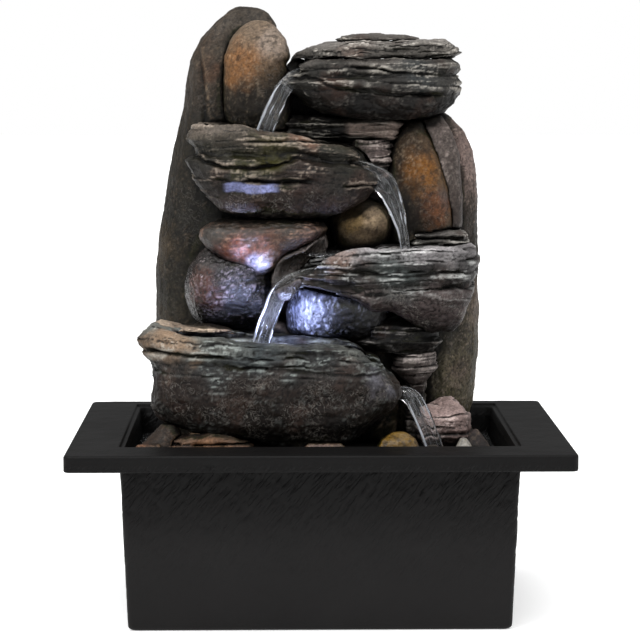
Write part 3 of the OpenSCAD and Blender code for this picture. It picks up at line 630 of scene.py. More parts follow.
def boulder(node, seed, coat_with_shading, worn="b09a82", hollow_and_shade="0a0907", grain=(1, 1, 0.8), lump=0.5, brush=0.8,
            skin=0.1, spots=(), damp=0.3, voxel=0.7, rounds=22, shape=None, reshape=None):
    """A smooth stone with a wrinkled skin, whose wrinkles run long where grain is small."""
    mesh, points, normal, low, high = rough_stone(node, voxel, rounds, reshape)
    stretched = points * grain
    wrinkled = creases(stretched, 2.1, seed + 1) + 0.45 * creases(stretched, 1.2, seed + 2) - 1
    depth = lump * rough_noise(points, 19, seed) + skin * wrinkled + 0.14 * rough_noise(points, 2.6,
                                                                                        seed + 3)
    if shape:
        depth = depth + shape(points)
    set_positions(mesh, points + normal * depth[:, None])
    share = height_share(points, low, high, seed + 60)
    patch = rough_noise(points * [1, 1, 0.6], 13, seed + 21, 4)
    # colours by height, dark low down and pale on top: partly the stone's paint, partly painted shade and
    # painted light
    colours = graded(coat_with_shading, share) * (1 + 0.4 * patch)[:, None]
    colours = paint_spots(colours, points, low, high, spots)
    pits = ease(0.05, 0.5, rough_noise(points, 2.6, seed + 24)) * ease(-0.5, 0.4, patch)
    colours = blend(colours, srgb(hollow_and_shade), 0.6 * pits)
    specks = ease(0.15, 0.5, rough_noise(points, 1.5, seed + 25)) * ease(0.4, -0.4, patch)
    colours = blend(colours, srgb(worn), 0.22 * brush * specks)
    colours = wash_brush_and_shade(mesh, colours, hollow_and_shade, worn, brush, seed)
    # painted shade: faces that look downward are darkened
    colours = blend(colours, srgb(hollow_and_shade), 0.7 * ease(0.2, -0.75, normal[:, 2]))
    worn_patch = ease(-0.3, 0.6, rough_noise(points, 14, seed + 51)) * (1 - shut_in(points, normal))
    finish_stone(node, mesh, colours, damp + 0.25 * patch, 0.3 * brush * worn_patch, damp > 0.55)


def column_ridge(points):
    """The groove and the long swelling beside it, high on the left column's front."""
    front = ease(32, 24, points[:, 1])
    tall = ease(196, 214, points[:, 2]) * ease(256, 240, points[:, 2])
    groove = np.exp(-((points[:, 0] + 51 + 0.12 * (points[:, 2] - 225)) / 1.7) ** 2)
    return front * tall * (-1.6 * groove)


slate("tier_1_bowl", 11, ["090706", "0f0c0a", "171512", "383633", "3c3a36", "625d58"], belly=0.42,
      thick=(4, 8),
      slope=-0.05, worn="b8b2a8", scratch=0.35,
      cuts=[([(-14, 230), (-5, 231.4), (7, 227), (29, 223.8), (55, 224)], 1.8)],
      spots=[(0.3, 0, 0.5, 10, "4a342b", 0.6), (0.75, 0, 0.8, 12, "30373a", 0.6),
             (0.6, 0, 0.2, 14, "1c1512", 0.6)])
slate("tier_1_cap", 12, ["393631", "6a655f", "8c8680"], slope=0.02, thick=(1.6, 4), worn="d0cac0",
      spots=[(0.35, 0, 0.5, 9, "6a554a", 0.6)])
slate("tier_1_crest", 13, ["3f3b36", "66605a"], thick=(1, 2))
slate("tier_2_bowl", 14, ["221813", "2e211c", "2c2824", "27251f", "36342b", "5f564d"], belly=0.34,
      thick=(5, 9),
      slope=-0.04, worn="aa9c8e", damp=0.4,
      cuts=[([(-58, 200.5), (-48.6, 195), (-41, 193.3), (-29, 192.4), (-10, 195.5)], 2.6),
            ([(-50, 186.5), (-39, 186.4), (-17, 186.6), (0, 187.5)], 1.0)],
      # this lavender band is painted light from the lamp below
      bands=[([(-41, 184.3), (-36, 184.6), (-28, 183.6), (-17, 184.2)], 2.4, "9fa6dc")],
      spots=[(0.45, 0, 0.72, 11, "46431c", 0.85), (0.62, 0, 0.93, 9, "94705c", 0.8),
             (0.3, 0, 0.55, 7, "3d3c20", 0.8),
             (0.9, 0, 0.85, 9, "7d665f", 0.7), (0.62, 0, 0.5, 12, "3e302b", 0.6)])
slate("tier_3_bowl", 15, ["2b2422", "4e4342", "5c504e", "2b2a29", "4e4b4b", "bdb8b9"], belly=0.5,
      thick=(2.5, 5),
      reshape=pulled([(-14, 5.5), (4, 2.4), (13, 0.3), (22, -3.4), (31, -0.5), (40, 0)], 141, 149),
      slope=0.03, worn="c2c3c0", damp=0.4,
      spots=[(0.25, 0, 0.95, 11, "8e7264", 0.65), (0.55, 0, 0.72, 13, "58615f", 0.6),
             (0.25, 0, 0.3, 13, "1a1715", 0.8)],
      cuts=[([(-8, 149.5), (10, 150), (34, 147), (62, 149)], 1.4),
            ([(20, 139.5), (45, 141), (64, 143)], 1.2)])
slate("tier_3_back_slab", 16, ["45423e", "7b7672"], thick=(1.5, 3), worn="cbc7bf")
slate("tier_4_bowl", 17, ["0d0a08", "140f0c", "1f1712", "29201b", "343636", "7c7d76"], belly=0.7,
      thick=(3, 5),
      slope=-0.05, worn="a0a7a3", damp=0.3, voxel=0.7,
      reshape=pulled([(-80, 4.5), (-68, 3.8), (-57, 0), (60, 0)], 116, 107),
      cuts=[([(-74, 118.5), (-64, 117), (-44, 116), (-20, 114.5)], 1.6),
            ([(-40, 111.5), (-10, 110), (14, 107), (28, 108)], 1.1)],
      spots=[(0.95, 0, 0.62, 11, "7b7a84", 0.7), (0.08, 0, 1.0, 20, "a88c72", 0.9),
             (0.45, 0, 0.88, 14, "4a5356", 0.6)])
slate("tier_4_back_slab", 18, ["7a6455", "b8a390", "c8b49e"], thick=(1.5, 3.5), worn="e0ccb2",
      reshape=pulled([(-90, 2.5), (-68, 1.8), (-57, -1.2), (20, -1.8)], 100, 90))
slate("ledge_slates", 19, ["2c2722", "5e564e", "8a8075"], thick=(1.5, 4),
      bands=[([(12, 208.4), (24, 207.6), (39, 208)], 3.6, "a29086")],
      spots=[(0.85, 0, 0.7, 15, "a8988c", 0.85), (0.1, 0, 0.5, 24, "060605", 0.95)])
slate("stepped_stone", 20, ["30262a", "4f4442", "6b5e5a"], thick=(2, 4), worn="ccbeb6", damp=0.5)
slate("slate_stack", 21, ["11100f", "1b1a19", "2d2b29"], thick=(1.8, 4), worn="aaa5a0", brush=1.0)
slate("pier_stone", 22, ["4c433e", "7d726e", "9b908b"], thick=(3, 6), worn="c4bab4", reshape=pier_widened)
slate("front_flat_stone", 23, ["2a1f18", "665043", "806650"], belly=0.2, thick=(4, 8), worn="b48c6c",
      spots=[(0.45, 0, 0.35, 9, "9a6f4f", 0.8), (0.8, 0, 0.3, 7, "8a6044", 0.7)])
slate("side_rock", 24, ["3a2c29", "806c67", "b8a09a"], belly=0.3, thick=(3, 6), worn="e0cfc8", damp=0.5)
boulder("crown_boulder", 31, ["0e0d0b", "16140f", "2c251c", "6f5a44", "8a7662"], worn="c9b296",
        spots=[(0.2, 0, 0.74, 13, "90633a", 0.9), (0.85, 0.2, 0.9, 13, "a39284", 0.85),
               (1.0, 0, 0.5, 16, "1f1b16", 0.9),
               (0.5, 0, 0.15, 19, "0c0b08", 1.0)])
boulder("amber_boulder", 32, ["1c1712", "463626", "614a32", "4a3a2a"], worn="cdb89c",
        spots=[(0.45, 0, 0.66, 12, "84541a", 0.9), (0.7, 0, 0.42, 10, "744628", 0.8),
               # the next two near-black patches on the left side are painted shadow
               (-0.1, 0, 0.3, 25, "080602", 1.0),
               (-0.05, 0, 0.62, 19, "0c0904", 1.0), (1.0, 0, 0.5, 9, "5d524f", 0.8),
               (0.4, 0, 1.0, 6, "3a3020", 0.8)])
boulder("ridge_boulder", 33, ["1e1916", "4a403b", "7f726c"], worn="c6b6ae")
boulder("left_column", 34, ["2a261c", "322e22", "29261d", "1c1a14", "262219", "3a3128", "4c443b"],
        worn="8a7661",
        shape=column_ridge, skin=0.16,
        spots=[(0.42, 0, 0.86, 9, "573c2a", 0.8), (0.3, 0.1, 0.95, 16, "4f4135", 0.6),
               (0.0, 0.2, 0.45, 14, "4c3f2c", 0.7),
               (0.1, 0.1, 0.2, 22, "45392a", 0.6), (0.75, 0, 0.55, 20, "12110c", 0.9),
               (0.3, 0, 0.75, 14, "1e1b14", 0.6)])
boulder("right_column", 35, ["776e58", "6f6650", "3d372b", "2a251d", "4b4038", "74635c"], worn="a8968c",
        skin=0.28, lump=0.8,
        spots=[(0.95, 0.2, 0.85, 18, "947f78", 0.8), (0.55, 0, 0.1, 10, "4a4722", 0.8),
               (0.8, 0, 0.2, 8, "7c6a60", 0.8),
               (0.5, 0, 0.32, 14, "17170e", 0.7),
               (1.0, 0.3, 0.4, 12, "6b5d52", 0.8)])
boulder("yellow_stone", 36, ["2b2318", "8a745a", "c6ac8c", "a8927a"], worn="c8b183", grain=(0.8, 1, 0.8),
        spots=[(0.3, 0, 0.6, 8, "9a7c48", 0.8), (0.95, 0, 0.2, 9, "1a130d", 0.8)], damp=0.5)
boulder("rust_stone", 37, ["1c120c", "40281d", "463428", "2c2822"], worn="b08a74", grain=(0.4, 1, 1),
        damp=0.6,
        skin=0.3,
        spots=[(0.28, 0, 0.4, 10, "7e3c1e", 0.9), (0.55, 0, 0.55, 8, "5e3422", 0.7),
               (0.08, 0, 0.75, 9, "45403a", 0.8),
               # the last patch, pale blue-grey low down, is painted light of the lamp, where its beam also
               # falls
               (0.9, 0, 0.7, 10, "5a443c", 0.8), (0.44, 0, 0.12, 7, "8e8ea2", 0.95)],
        reshape=pulled([(-44, 0), (-34, -1), (-26, -4.5), (-20, -4), (-14, 0)], 153, 161, 0.6))
boulder("dark_boulder", 38, ["0a090a", "121115", "221c1b", "2c241f"], worn="a89a9c", grain=(0.5, 1, 0.8),
        damp=0.9,
        skin=0.34,
        spots=[(0.18, 0, 0.55, 12, "4c2a1c", 0.9), (0.1, 0, 0.9, 9, "302b23", 0.7),
               (0.7, 0, 0.6, 17, "0d0d14", 0.9)])
boulder("spout_stone", 39, ["14110f", "382f2b", "584e49"], worn="948a88", damp=0.75, skin=0.25)
# the blue-grey colours and blue-white dry brush are partly painted light of the cool lamp below
boulder("underlit_boulder", 40, ["20232c", "4a4d5a", "6a6e80"], worn="c9cde4", grain=(1, 1, 0.4), damp=0.75,
        # the near-black patch over its right side is painted shadow
        skin=0.38, spots=[(0.78, 0, 0.5, 27, "040507", 1.0)],
        reshape=pulled([(-16, 5), (-4, 4.5), (8, 2), (16, 0)], 143, 132))
boulder("foot_stone", 41, ["0e0d0d", "241f1e", "3a302d"], voxel=0.6)
boulder("core_block", 42, ["080706", "12100e", "1a1714"], voxel=1.1)
boulder("hose_cover", 43, ["12100d", "24201b", "2c2721", "2c2721"], voxel=1.1)
boulder("corner_stones", 44, ["120f0c", "2e2620", "43352b"], voxel=0.55, rounds=8, lump=0.3, worn="9a7a62",
        spots=[(0.1, 0.1, 0.4, 8, "6b4630", 0.8)])
boulder("bed_pebbles", 45, ["1c150a", "54402a", "6b5a48"], voxel=0.5, rounds=8, lump=0.25, worn="c8b48c",
        damp=0.7,
        spots=[(0.55, 0.2, 0.8, 12, "86672a", 0.95), (0.95, 0.5, 0.8, 8, "a8a49c", 0.9),
               (0.1, 0.2, 0.7, 12, "6e5148", 0.8)])
boulder("rock_base", 46, ["0a0908", "14120f", "1c1814"], voxel=1.4, rounds=1, lump=0.3, brush=0.15)

# ---- basin

RIM_HEIGHT = 79.0
RIM_HALF = (105.0, 75.0)
FLAT_EDGES = (83.5, -52.5, 66.5)      # the flat rim's inner edges: +-x, front y and back y
WALL_EDGES = (84.0, -53.0, 67.0)      # the outer walls at the rim's level
LEAN = math.tan(math.radians(2.2))
WALL = 2.5
SKIRT_LOW = 72.0
STEP_LOW = 77.8
NOTCH = (-40.0, 9.0)                  # middle and width of the mains lead's notch in the back


def rounded_ring(half_x, front, back, radius, z, across=190, deep=110, bend=6):
    """The points of a level rounded rectangle, counter-clockwise from its front left corner."""
    radius = max(radius, 0.05)
    corners = [(-half_x, front, 180), (half_x, front, 270), (half_x, back, 0), (-half_x, back, 90)]
    counts = [across, deep, across, deep]
    points = []
    for i, (x, y, start) in enumerate(corners):
        middle = (x - math.copysign(radius, x), y + (radius if i < 2 else -radius))
        for k in range(bend + 1):
            angle = math.radians(start + 90 * k / bend)
            points.append((middle[0] + radius * math.cos(angle), middle[1] + radius * math.sin(angle), z))
        nx, ny, nstart = corners[(i + 1) % 4]
        ahead = (nx - math.copysign(radius, nx), ny + (radius if (i + 1) % 4 < 2 else -radius))
        turn = math.radians(nstart)
        ahead = np.array([ahead[0] + radius * math.cos(turn), ahead[1] + radius * math.sin(turn), z])
        last = np.array(points[-1])
        for k in range(1, counts[i]):
            points.append(tuple(last + (ahead - last) * k / counts[i]))
    return np.array(points)


def wall_ring(z, outward, radius):
    """The ring of the leaning wall at a level, moved outward from the wall's outer face."""
    lean = (RIM_HEIGHT - z) * LEAN
    half_x, front, back = WALL_EDGES
    return rounded_ring(half_x - lean + outward, front + lean - outward, back - lean + outward, radius, z)


def flat_ring(share, z, shrink=0.0):
    """A ring on the flat rim: share 0 is its inner edge and share 1 its outer edge."""
    inner = rounded_ring(FLAT_EDGES[0], FLAT_EDGES[1], FLAT_EDGES[2], 1.5, z)
    outer = rounded_ring(RIM_HALF[0] - shrink, -RIM_HALF[1] + shrink, RIM_HALF[1] - shrink, 3 - shrink, z)
    return inner + (outer - inner) * share


def basin_rings():
    rings = [wall_ring(3.0, -WALL - 3, 2), wall_ring(3.3, -WALL - 1, 3), wall_ring(4.5, -WALL - 0.15, 3)]
    rings += [wall_ring(z, -WALL, 3) for z in np.linspace(8, STEP_LOW - 0.6, 16)]
    rings += [wall_ring(STEP_LOW, -WALL + 0.4, 2.5)]
    rings += [flat_ring(-0.02, STEP_LOW + 0.1), flat_ring(0, STEP_LOW + 0.4),
              flat_ring(0.004, RIM_HEIGHT - 0.3)]
    rings += [flat_ring(0.02, RIM_HEIGHT - 0.05)]
    rings += [flat_ring(share, RIM_HEIGHT) for share in np.linspace(0.05, 1, 18)[:-1]]
    for angle in np.linspace(90, 0, 6):
        turn = math.radians(angle)
        rings.append(flat_ring(1, RIM_HEIGHT - 1.1 + 1.1 * math.sin(turn), 1.1 - 1.1 * math.cos(turn)))
    rings += [flat_ring(1, z) for z in np.linspace(RIM_HEIGHT - 2, SKIRT_LOW + 0.6, 7)]
    rings += [flat_ring(1, SKIRT_LOW + 0.15, 0.2), flat_ring(1, SKIRT_LOW, 0.6),
              flat_ring(1, SKIRT_LOW, WALL)]
    under = RIM_HEIGHT - WALL - 1.2
    rings += [flat_ring(1, under, WALL), wall_ring(under, 0.6, 2.5), wall_ring(under - 0.5, 0.05, 2.5)]
    rings += [wall_ring(z, 0, 2.5) for z in np.linspace(under - 1.2, 2.6, 78)]
    for angle in np.linspace(15, 90, 6):
        turn = math.radians(angle)
        rings.append(wall_ring(2.2 - 2.2 * math.sin(turn), -2.2 + 2.2 * math.cos(turn), 2.5))
    rings.append(wall_ring(0, -4, 2))
    return rings


def chisel_marks(rings):
    """Depths of slanting chisel marks in the outer walls, close together under the rim and fading down."""
    points = np.array(rings)
    step = np.linalg.norm(np.diff(points, axis=1, append=points[:, :1]), axis=2)
    along = np.cumsum(step, axis=1)
    outward = np.cross(np.roll(points, -1, axis=1) - np.roll(points, 1, axis=1), [0, 0, 1])
    outward /= np.maximum(np.linalg.norm(outward, axis=2, keepdims=True), 1e-6)
    flat = points.reshape(-1, 3)
    z = flat[:, 2]
    s = along.reshape(-1)
    run = s * math.cos(CHISEL_SLANT) + z * math.sin(CHISEL_SLANT)
    across = -s * math.sin(CHISEL_SLANT) + z * math.cos(CHISEL_SLANT)
    bend = 1.6 * noise(flat, 14, 301)
    gouge = noise(np.column_stack([run / 7, (across + bend) / 1.8, np.zeros(len(z))]), 1, 302)
    small = noise(np.column_stack([run / 4, (across + bend) / 1.3, np.zeros(len(z))]), 1, 303)
    swell = noise(np.column_stack([run / 26, across / 8, np.zeros(len(z))]), 1, 304)
    fade = ease(8, 62, z)
    cut = ease(0.18, 0.42, gouge) * (0.2 + 0.8 * fade) + 0.6 * ease(0.25, 0.5, small) * fade
    depth = -0.4 * cut + 0.2 * swell * (0.4 + fade)
    depth *= ease(1.5, 6, z) * ease(76, 73.5, z)
    return depth.reshape(len(rings), -1), outward


def basin_mesh():
    rings = basin_rings()
    depth, outward = chisel_marks(rings)
    points = np.array(rings)
    is_wall = np.array([wall_level(ring) for ring in rings])
    points = points + outward * (depth * is_wall[:, None])[:, :, None]
    # the rim's top is slightly uneven, like pressed leather
    top = np.array([abs(ring[0][2] - RIM_HEIGHT) < 0.02 for ring in rings])
    flat = points.reshape(-1, 3)
    dents = (0.10 * noise(flat, 9, 311) + 0.05 * noise(flat, 2.6, 312) - 0.07).reshape(len(rings), -1)
    points[:, :, 2] += dents * top[:, None]
    # a shallow mould mark in the rim's front
    gap = np.linalg.norm((points - [-44.6, -75, 74.3]) * [0.62, 1, 1], axis=2)
    points[:, :, 1] += 1.1 * np.exp(-(gap / 1.3) ** 2)
    count, width = len(rings), points.shape[1]
    faces = []
    for i in range(count - 1):
        for k in range(width):
            n = (k + 1) % width
            faces.append((i * width + k, (i + 1) * width + k, (i + 1) * width + n, i * width + n))
    faces.append(tuple(range(width)))
    faces.append(tuple(reversed(range((count - 1) * width, count * width))))
    mesh = mesh_of("basin_shell", flat, faces)
    mesh.update()
    return mesh


def wall_level(ring):
    """1 for a ring that lies on the outer wall, else 0."""
    lean = (RIM_HEIGHT - ring[0][2]) * LEAN
    reach = np.abs(ring[:, 0]).max()
    return float(abs(reach - (WALL_EDGES[0] - lean)) < 0.3 and ring[0][2] < 75)


def cut_notch(obj):
    """Takes the mains lead's notch out of the back of the rim."""
    middle, width = NOTCH
    half = width / 2
    outline = [(half, 9), (half, 0)]
    outline += [(half * math.cos(a), half * math.sin(a)) for a in np.linspace(0, -math.pi, 17)[1:-1]]
    outline += [(-half, 0), (-half, 9)]
    rings = [np.array([(middle + x, y, SKIRT_LOW + z) for x, z in outline]) for y in (62.0, 80.0)]
    tool = add_object("notch_cutter", solid_mesh("notch_cutter", *closed_tube(rings)))
    cut = obj.modifiers.new("notch", "BOOLEAN")
    cut.operation = "DIFFERENCE"
    cut.solver = "MANIFOLD"
    cut.object = tool
    mesh = evaluated_mesh(obj)
    obj.modifiers.clear()
    obj.data = mesh
    bpy.data.objects.remove(tool)


def basin_material():
    """Moulded black plastic with a pressed grain, paler low down, and slanting strokes on its walls."""
    nodes, surface, place = new_material("basin_plastic")
    cloud = nodes.noise(38, 6, place)
    shade = nodes.mixed(cloud, (*srgb("141313"), 1), (*srgb("1c1b1b"), 1))
    height = nodes.add("SeparateXYZ", "Z", {"Vector": place})
    grain = nodes.bump(nodes.noise(1500, 3, place), 0.35, FINE_GRAIN)
    turned = nodes.add("Mapping", "Vector", {"Vector": place, "Rotation": (0, -CHISEL_SLANT, 0),
                                             "Scale": (5.5, 2, 1)}, vector_type="TEXTURE")
    stroke = nodes.ranged(nodes.noise(850, 2, turned), 0.5, 0.64, 1, 0)
    # the strokes are strongest under the rim, fade down the walls and are faint on the rim itself
    level = nodes.tree.nodes.new("ShaderNodeValToRGB")
    stops = level.color_ramp.elements
    stops[0].position, stops[0].color = 0.2, (0.04, 0.04, 0.04, 1)
    stops[1].position, stops[1].color = 0.85, (1, 1, 1, 1)
    for position, value in ((0.92, 1), (0.94, 0.12)):
        stops.new(position).color = (value, value, value, 1)
    nodes.fill(level, {"Fac": nodes.ranged(height, 0, 0.08)})
    press = nodes.maths("MULTIPLY", stroke, level.outputs["Color"])
    nodes.fill(surface, {
        "Base Color": nodes.scaled(shade, nodes.ranged(height, 0.035, 0.074, 0.95, 0.42)),
        "Roughness": nodes.ranged(cloud, 0, 1, 0.42, 0.58),
        "Normal": nodes.bump(press, 0.6, 0.0007, Normal=grain),
        "Specular IOR Level": 0.1})
    return nodes.owner


def basin():
    mesh = basin_mesh()
    shell = add_object("basin_shell", mesh)
    cut_notch(shell)
    shell.data.materials.clear()
    shell.data.materials.append(basin_material())
    smooth_shading(shell.data)
    shell.data.set_sharp_from_angle(angle=math.radians(50))
    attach(shell, "basin_unit")
    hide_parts("basin")


basin()

# ---- water

def water_material():
    nodes, surface, place = new_material("water")
    ripple = nodes.noise(180, 2, place)
    nodes.fill(surface, {
        "Base Color": (0.97, 0.985, 1, 1), "Transmission Weight": 0.985, "IOR": WATER_INDEX,
        "Roughness": nodes.ranged(ripple, 0, 1, 0, 0.08), "Normal": nodes.bump(ripple, 0.25, 0.0006)})
    return nodes.owner


def strand_highlight_material():
    """Pale strands laid in the falling water as painted highlights, whiter in patches of noise."""
    nodes, surface, place = new_material("strand_highlights")
    glint = nodes.noise(350, 3, place)
    nodes.fill(surface, {
        "Base Color": nodes.mixed(glint, (0.2, 0.22, 0.26, 1), (0.9, 0.93, 1, 1)),
        "Roughness": 0.12, "Transmission Weight": 0.4, "IOR": WATER_INDEX,
        "Normal": nodes.bump(glint, 0.3, 0.0003)})
    return nodes.owner


WATER = water_material()
STRAND_HIGHLIGHTS = strand_highlight_material()


def smooth_path(points, count):
    """A curve through the points, as count evenly numbered places."""
    points = np.array(points, float)
    padded = np.vstack([2 * points[0] - points[1], points, 2 * points[-1] - points[-2]])
    out = []
    for t in np.linspace(0, len(points) - 1, count):
        i = min(int(t), len(points) - 2)
        f = t - i
        a, b, c, d = padded[i:i + 4]
        out.append(0.5 * (2 * b + (c - a) * f + (2 * a - 5 * b + 4 * c - d) * f ** 2
                          + (3 * b - a - 3 * c + d) * f ** 3))
    return np.array(out)


def fall(name, route, widths, thickness, facing, seed, bright=1):
    """A ribbon of falling water along a route, thick at its edges, with pale strands running down it as
    painted highlights.
    """
    count, around = 90, 40
    path = smooth_path(route, count)
    share = np.linspace(0, 1, count)
    breadth = np.interp(share, np.linspace(0, 1, len(widths)), widths)
    facing = np.array(facing, float)
    sides, outs = [], []
    for i in range(count):
        ahead = path[min(i + 1, count - 1)] - path[max(i - 1, 0)]
        ahead /= np.linalg.norm(ahead)
        side = np.cross(ahead, facing)
        side /= np.linalg.norm(side)
        sides.append(side)
        outs.append(np.cross(side, ahead))
    rings = []
    for i, middle in enumerate(path):
        angle = 2 * math.pi * np.arange(around) / around
        reach = np.cos(angle)
        lobes = 0.16 * np.cos(5 * angle + 4 * share[i] + seed) * ease(0.1, 0.4, share[i])
        thick = thickness * (0.4 + 0.6 * np.abs(reach) ** 3) * (1 + lobes)
        across = breadth[i] / 2 * (1 + 0.3 * lobes) * reach
        rings.append(middle + np.outer(across, sides[i]) + np.outer(thick * np.sin(angle), outs[i]))
    points, faces = closed_tube(rings)
    centre = np.repeat(path, around, axis=0)
    away = points - centre
    away /= np.maximum(np.linalg.norm(away, axis=1, keepdims=True), 1e-6)
    ripple = noise(points * [1, 1, 0.22], 1.5, seed) * 0.25 + noise(points * [1, 1, 0.35], 4,
                                                                    seed + 1) * 0.4
    points += away * (ripple * ease(0.05, 0.4, np.repeat(share, around)))[:, None]
    ribbon = solid_mesh(name, points, faces)
    ribbon.materials.append(WATER)
    new_object(name, ribbon, "rockwork")
    all_points, all_faces, start = [], [], 0
    strands = [(0.42, 0.5, 0.75), (-0.44, 0.34, 0.35), (0.1, 0.3, 0.1), (-0.2, 0.24, 0.1)]
    for number, (place, thick, shown) in enumerate(strands):
        wander = noise(np.column_stack([share * 6, 0 * share, 0 * share]), 1, seed + 20 + number)
        gate = noise(np.column_stack([share * 5, 0 * share + 7, 0 * share]), 1, seed + 30 + number)
        radius = thick * ease(0.35 - 1.2 * shown, 0.6 - 1.2 * shown, gate)
        radius = np.maximum(radius * ease(0.35, 0.62, share) * ease(1.02, 0.9, share), 0.03)
        rings = []
        for i in range(count):
            at = path[i] + sides[i] * bright * (place + 0.07 * wander[i]) * breadth[i]
            at = at + outs[i] * 0.35 * thickness
            angle = 2 * math.pi * np.arange(8) / 8
            round_it = np.outer(np.cos(angle), sides[i]) + np.outer(np.sin(angle), outs[i])
            rings.append(at + radius[i] * round_it)
        points, faces = closed_tube(rings)
        all_points.append(points)
        all_faces += [tuple(start + v for v in face) for face in faces]
        start += len(points)
    mesh = solid_mesh(name + "_strands", np.vstack(all_points), all_faces)
    mesh.materials.append(STRAND_HIGHLIGHTS)
    new_object(name + "_strands", mesh, "rockwork")


def pool(name, outline, level, depth, body, seed, swell=0.35, cell=1.2):
    """A sheet of water: a level outline filled with a rippled top, and a flat underside."""
    outline = np.array(outline, float)
    low, high = outline.min(0), outline.max(0)
    xs = np.arange(low[0], high[0] + cell, cell)
    ys = np.arange(low[1], high[1] + cell, cell)
    gx, gy = np.meshgrid(xs, ys, indexing="ij")
    centre = np.column_stack([gx.ravel(), gy.ravel()])
    inside = np.zeros(len(centre), bool)
    for k in range(len(outline)):
        a, b = outline[k - 1], outline[k]
        crosses = (a[1] > centre[:, 1]) != (b[1] > centre[:, 1])
        with np.errstate(divide="ignore", invalid="ignore"):
            cut = a[0] + (centre[:, 1] - a[1]) * (b[0] - a[0]) / (b[1] - a[1])
        inside ^= crosses & (centre[:, 0] < cut)
    inside = inside.reshape(gx.shape)
    flat = np.column_stack([centre, np.full(len(centre), 0.0)])
    wave = swell * (noise(flat, 7, seed) + 0.4 * noise(flat, 2.8, seed + 1))
    top = np.column_stack([centre, level + wave])
    under = np.column_stack([centre, np.full(len(centre), level - depth)])
    width = gx.shape[1]
    shift = len(centre)
    cells = inside[:-1, :-1] & inside[1:, :-1] & inside[:-1, 1:] & inside[1:, 1:]
    faces = []
    for i, k in zip(*np.nonzero(cells)):
        a, b, c, d = i * width + k, (i + 1) * width + k, (i + 1) * width + k + 1, i * width + k + 1
        faces.append((a, b, c, d))
        faces.append((shift + d, shift + c, shift + b, shift + a))
        for (p, q), (di, dk) in (((a, b), (0, -1)), ((b, c), (1, 0)), ((c, d), (0, 1)), ((d, a), (-1, 0))):
            ni, nk = i + di, k + dk
            if ni < 0 or nk < 0 or ni >= cells.shape[0] or nk >= cells.shape[1] or not cells[ni, nk]:
                faces.append((q, p, shift + p, shift + q))
    mesh = mesh_of(name, np.vstack([top, under]), faces)
    tidy = bmesh.new()
    tidy.from_mesh(mesh)
    bmesh.ops.delete(tidy, geom=[v for v in tidy.verts if not v.link_faces], context="VERTS")
    tidy.to_mesh(mesh)
    tidy.free()
    smooth_shading(mesh)
    mesh.materials.append(WATER)
    new_object(name, mesh, body)


def capsule(x0, x1, y, radius, steps=14):
    """The outline of a long pool with round ends."""
    bend = [(math.cos(a), math.sin(a)) for a in np.linspace(-math.pi / 2, math.pi / 2, steps)]
    right = [(x1 + radius * c, y + radius * s) for c, s in bend]
    left = [(x0 - radius * c, y - radius * s) for c, s in bend]
    return right + left


fall("fall_1", [(4, 13, 234.6), (-6, 8, 232.4), (-12.3, 3.5, 229.4), (-15.6, 1, 225), (-18.9, -0.5, 218.4),
                (-22, -1, 211.4), (-24.6, -1.2, 203)],
     [7, 7, 6.5, 7.2, 7.5, 7.5], 1.7, (0.3, -1, 0.2), 401)
fall("fall_2", [(12, 0, 192.5), (20, -2.5, 190), (27, -5, 186.5), (31, -7, 180.5), (34, -8, 173),
                (36, -8.5, 166),
                (37.6, -9, 156.4)],
     [8, 10, 10, 8.5, 6.5, 4.5, 4], 1.7, (-0.3, -1, 0.2), 411)
fall("fall_3", [(2, -14, 147.5), (-6, -16.5, 146), (-13, -19.5, 143.6), (-17.4, -21.2, 139.5),
                (-20.6, -22, 132),
                (-23.6, -22.6, 124.5), (-26, -23, 116)],
     [7, 7.5, 7.5, 7.5, 7.5, 8], 1.7, (0.3, -1, 0.2), 421)
fall("fall_4", [(24, -26, 97), (30, -28.5, 97.4), (35.4, -31, 98), (39.8, -33, 96), (43.6, -34.4, 88.5),
                (47, -35.2, 80), (50.5, -35.5, 70.5), (52, -35.5, 65.6)],
     [3, 4.5, 6.5, 7.5, 7.5, 7.5, 7.5], 1.8, (-0.3, -1, 0.2), 431)
pool("pool_2", capsule(-42, 2, 2, 9.5), 201.0, 1.2, "rockwork", 441)
pool("pool_3", capsule(6, 52, -9, 11), 156.0, 1.2, "rockwork", 442)
pool("pool_4", capsule(-50, 2, -24, 11.2), 116.8, 1.2, "rockwork", 443)
pool("basin_water", [(-80.6, -49.4), (80.6, -49.4), (80.6, 63.4), (-80.6, 63.4)], 66, 1.4, "basin_unit",
     444, 0.15, 1.6)

# ---- lamp

def lamp_glow():
    """The lamp's cool light: its glow on the stone over it, and its beams on the wet stones higher up."""
    cool = (0.52, 0.6, 1.0)
    beams = [("lamp_glow", (-17, -38, 122), (-6, -12, 136), 0.42, 80, 1.0, 0.003),
             ("lamp_patch", (-14, -44, 122), (-27, -18, 153.5), 1.1, 22, 0.9, 0.002),
             ("lamp_side", (-14, -44, 122), (-34, -18, 136), 0.5, 48, 1.0, 0.002)]
    lights = [add_light("SPOT", name, Vector(start) * MM, Vector(end) * MM, watts, cool,
                        spot_size=math.radians(wide), spot_blend=soft, shadow_soft_size=size)
              for name, start, end, watts, wide, soft, size in beams]
    lights.append(add_light("POINT", "lamp_water", Vector((-16, -21, 119)) * MM, (0, 0, 1), 0.02, cool,
                            shadow_soft_size=0.004))
    for light in lights:
        light.parent = frame["bodies"]["rockwork"]


lamp_glow()

# ---- pump, hose and lamp parts

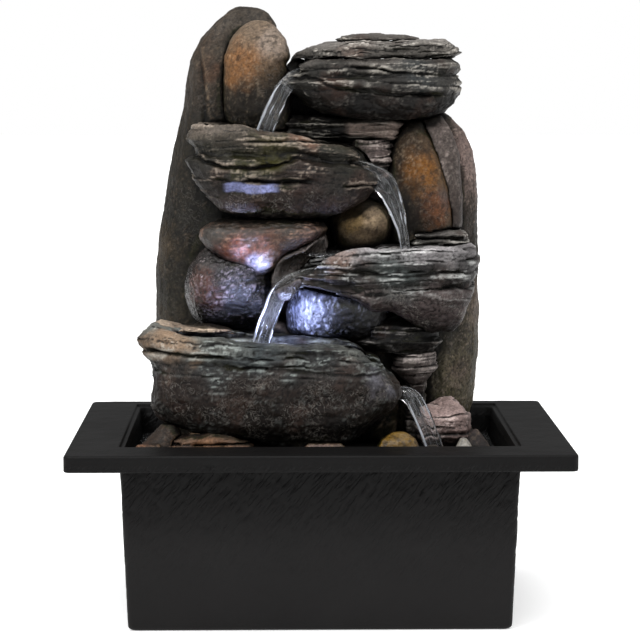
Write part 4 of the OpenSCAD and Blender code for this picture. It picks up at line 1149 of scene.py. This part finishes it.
def part_material(name, dark, light, scale, rough, grain, bump=0.3, metallic=0.0, clear=0.0, glow=0.0):
    """A moulded or turned part: clouded colour, roughness that varies with it, and a fine surface grain."""
    nodes, surface, place = new_material(name)
    cloud = nodes.noise(scale, 5, place)
    nodes.fill(surface, {
        "Base Color": nodes.mixed(cloud, (*srgb(dark), 1), (*srgb(light), 1)),
        "Roughness": nodes.ranged(cloud, 0, 1, rough[0], rough[1]),
        "Normal": nodes.bump(nodes.noise(grain, 4, place), bump, FINE_GRAIN),
        "Metallic": metallic, "Transmission Weight": clear})
    if glow:
        nodes.fill(surface, {"Emission Color": (*srgb("9fb4ff"), 1), "Emission Strength": glow})
    return nodes.owner


def dress(node, *look, **more):
    frame["nodes"][node].material_slots[0].material = part_material(*look, **more)


dress("riser_hose", "clear_vinyl", "b9c2c4", "dfe6e7", 90, (0.12, 0.3), 700, 0.2, clear=0.7)
dress("hose_spout", "spout_plastic", "151515", "232323", 120, (0.4, 0.55), 2400)
dress("lamp_housing", "lamp_plastic", "131314", "202022", 140, (0.35, 0.5), 2600)
dress("lamp_lens", "lamp_lens", "c9d6ff", "eef2ff", 500, (0.05, 0.15), 1800, 0.1, clear=0.6, glow=1.6)
dress("lamp_lead", "lead_sheath", "0e0e0e", "1c1c1c", 160, (0.4, 0.6), 1500, 0.2)
dress("lamp_plug", "plug_rubber", "121212", "1e1e1e", 180, (0.5, 0.7), 2200, 0.4)
dress("lead_clips", "sealant", "a8a69e", "cfcdc4", 130, (0.35, 0.6), 500, 0.5)
dress("pump_case", "pump_plastic", "1b1b1d", "2b2b2e", 80, (0.35, 0.5), 2600)
dress("chamber_plate", "plate_plastic", "232326", "343438", 100, (0.3, 0.45), 2600)
dress("suction_feet", "foot_rubber", "7c7f7c", "a2a5a1", 110, (0.3, 0.5), 900, 0.2, clear=0.3)
dress("lamp_socket", "socket_plastic", "17171a", "26262a", 120, (0.4, 0.55), 2400)
dress("cord_gland", "gland_rubber", "101010", "1b1b1b", 150, (0.5, 0.75), 1600, 0.5)
dress("rotor_shaft", "shaft_ceramic", "d8d6cf", "f0eee8", 600, (0.08, 0.2), 3000, 0.1)
dress("rotor_magnet", "ferrite", "1f1e1e", "3a3838", 700, (0.3, 0.5), 2800, 0.4, metallic=0.4)
dress("impeller", "impeller_nylon", "c4c2b8", "dedcd3", 200, (0.35, 0.5), 2400)
dress("strainer", "strainer_plastic", "1a1a1c", "2c2c2f", 90, (0.35, 0.5), 2600)
dress("flow_regulator", "regulator_plastic", "26262a", "3a3a3f", 110, (0.3, 0.45), 2600)
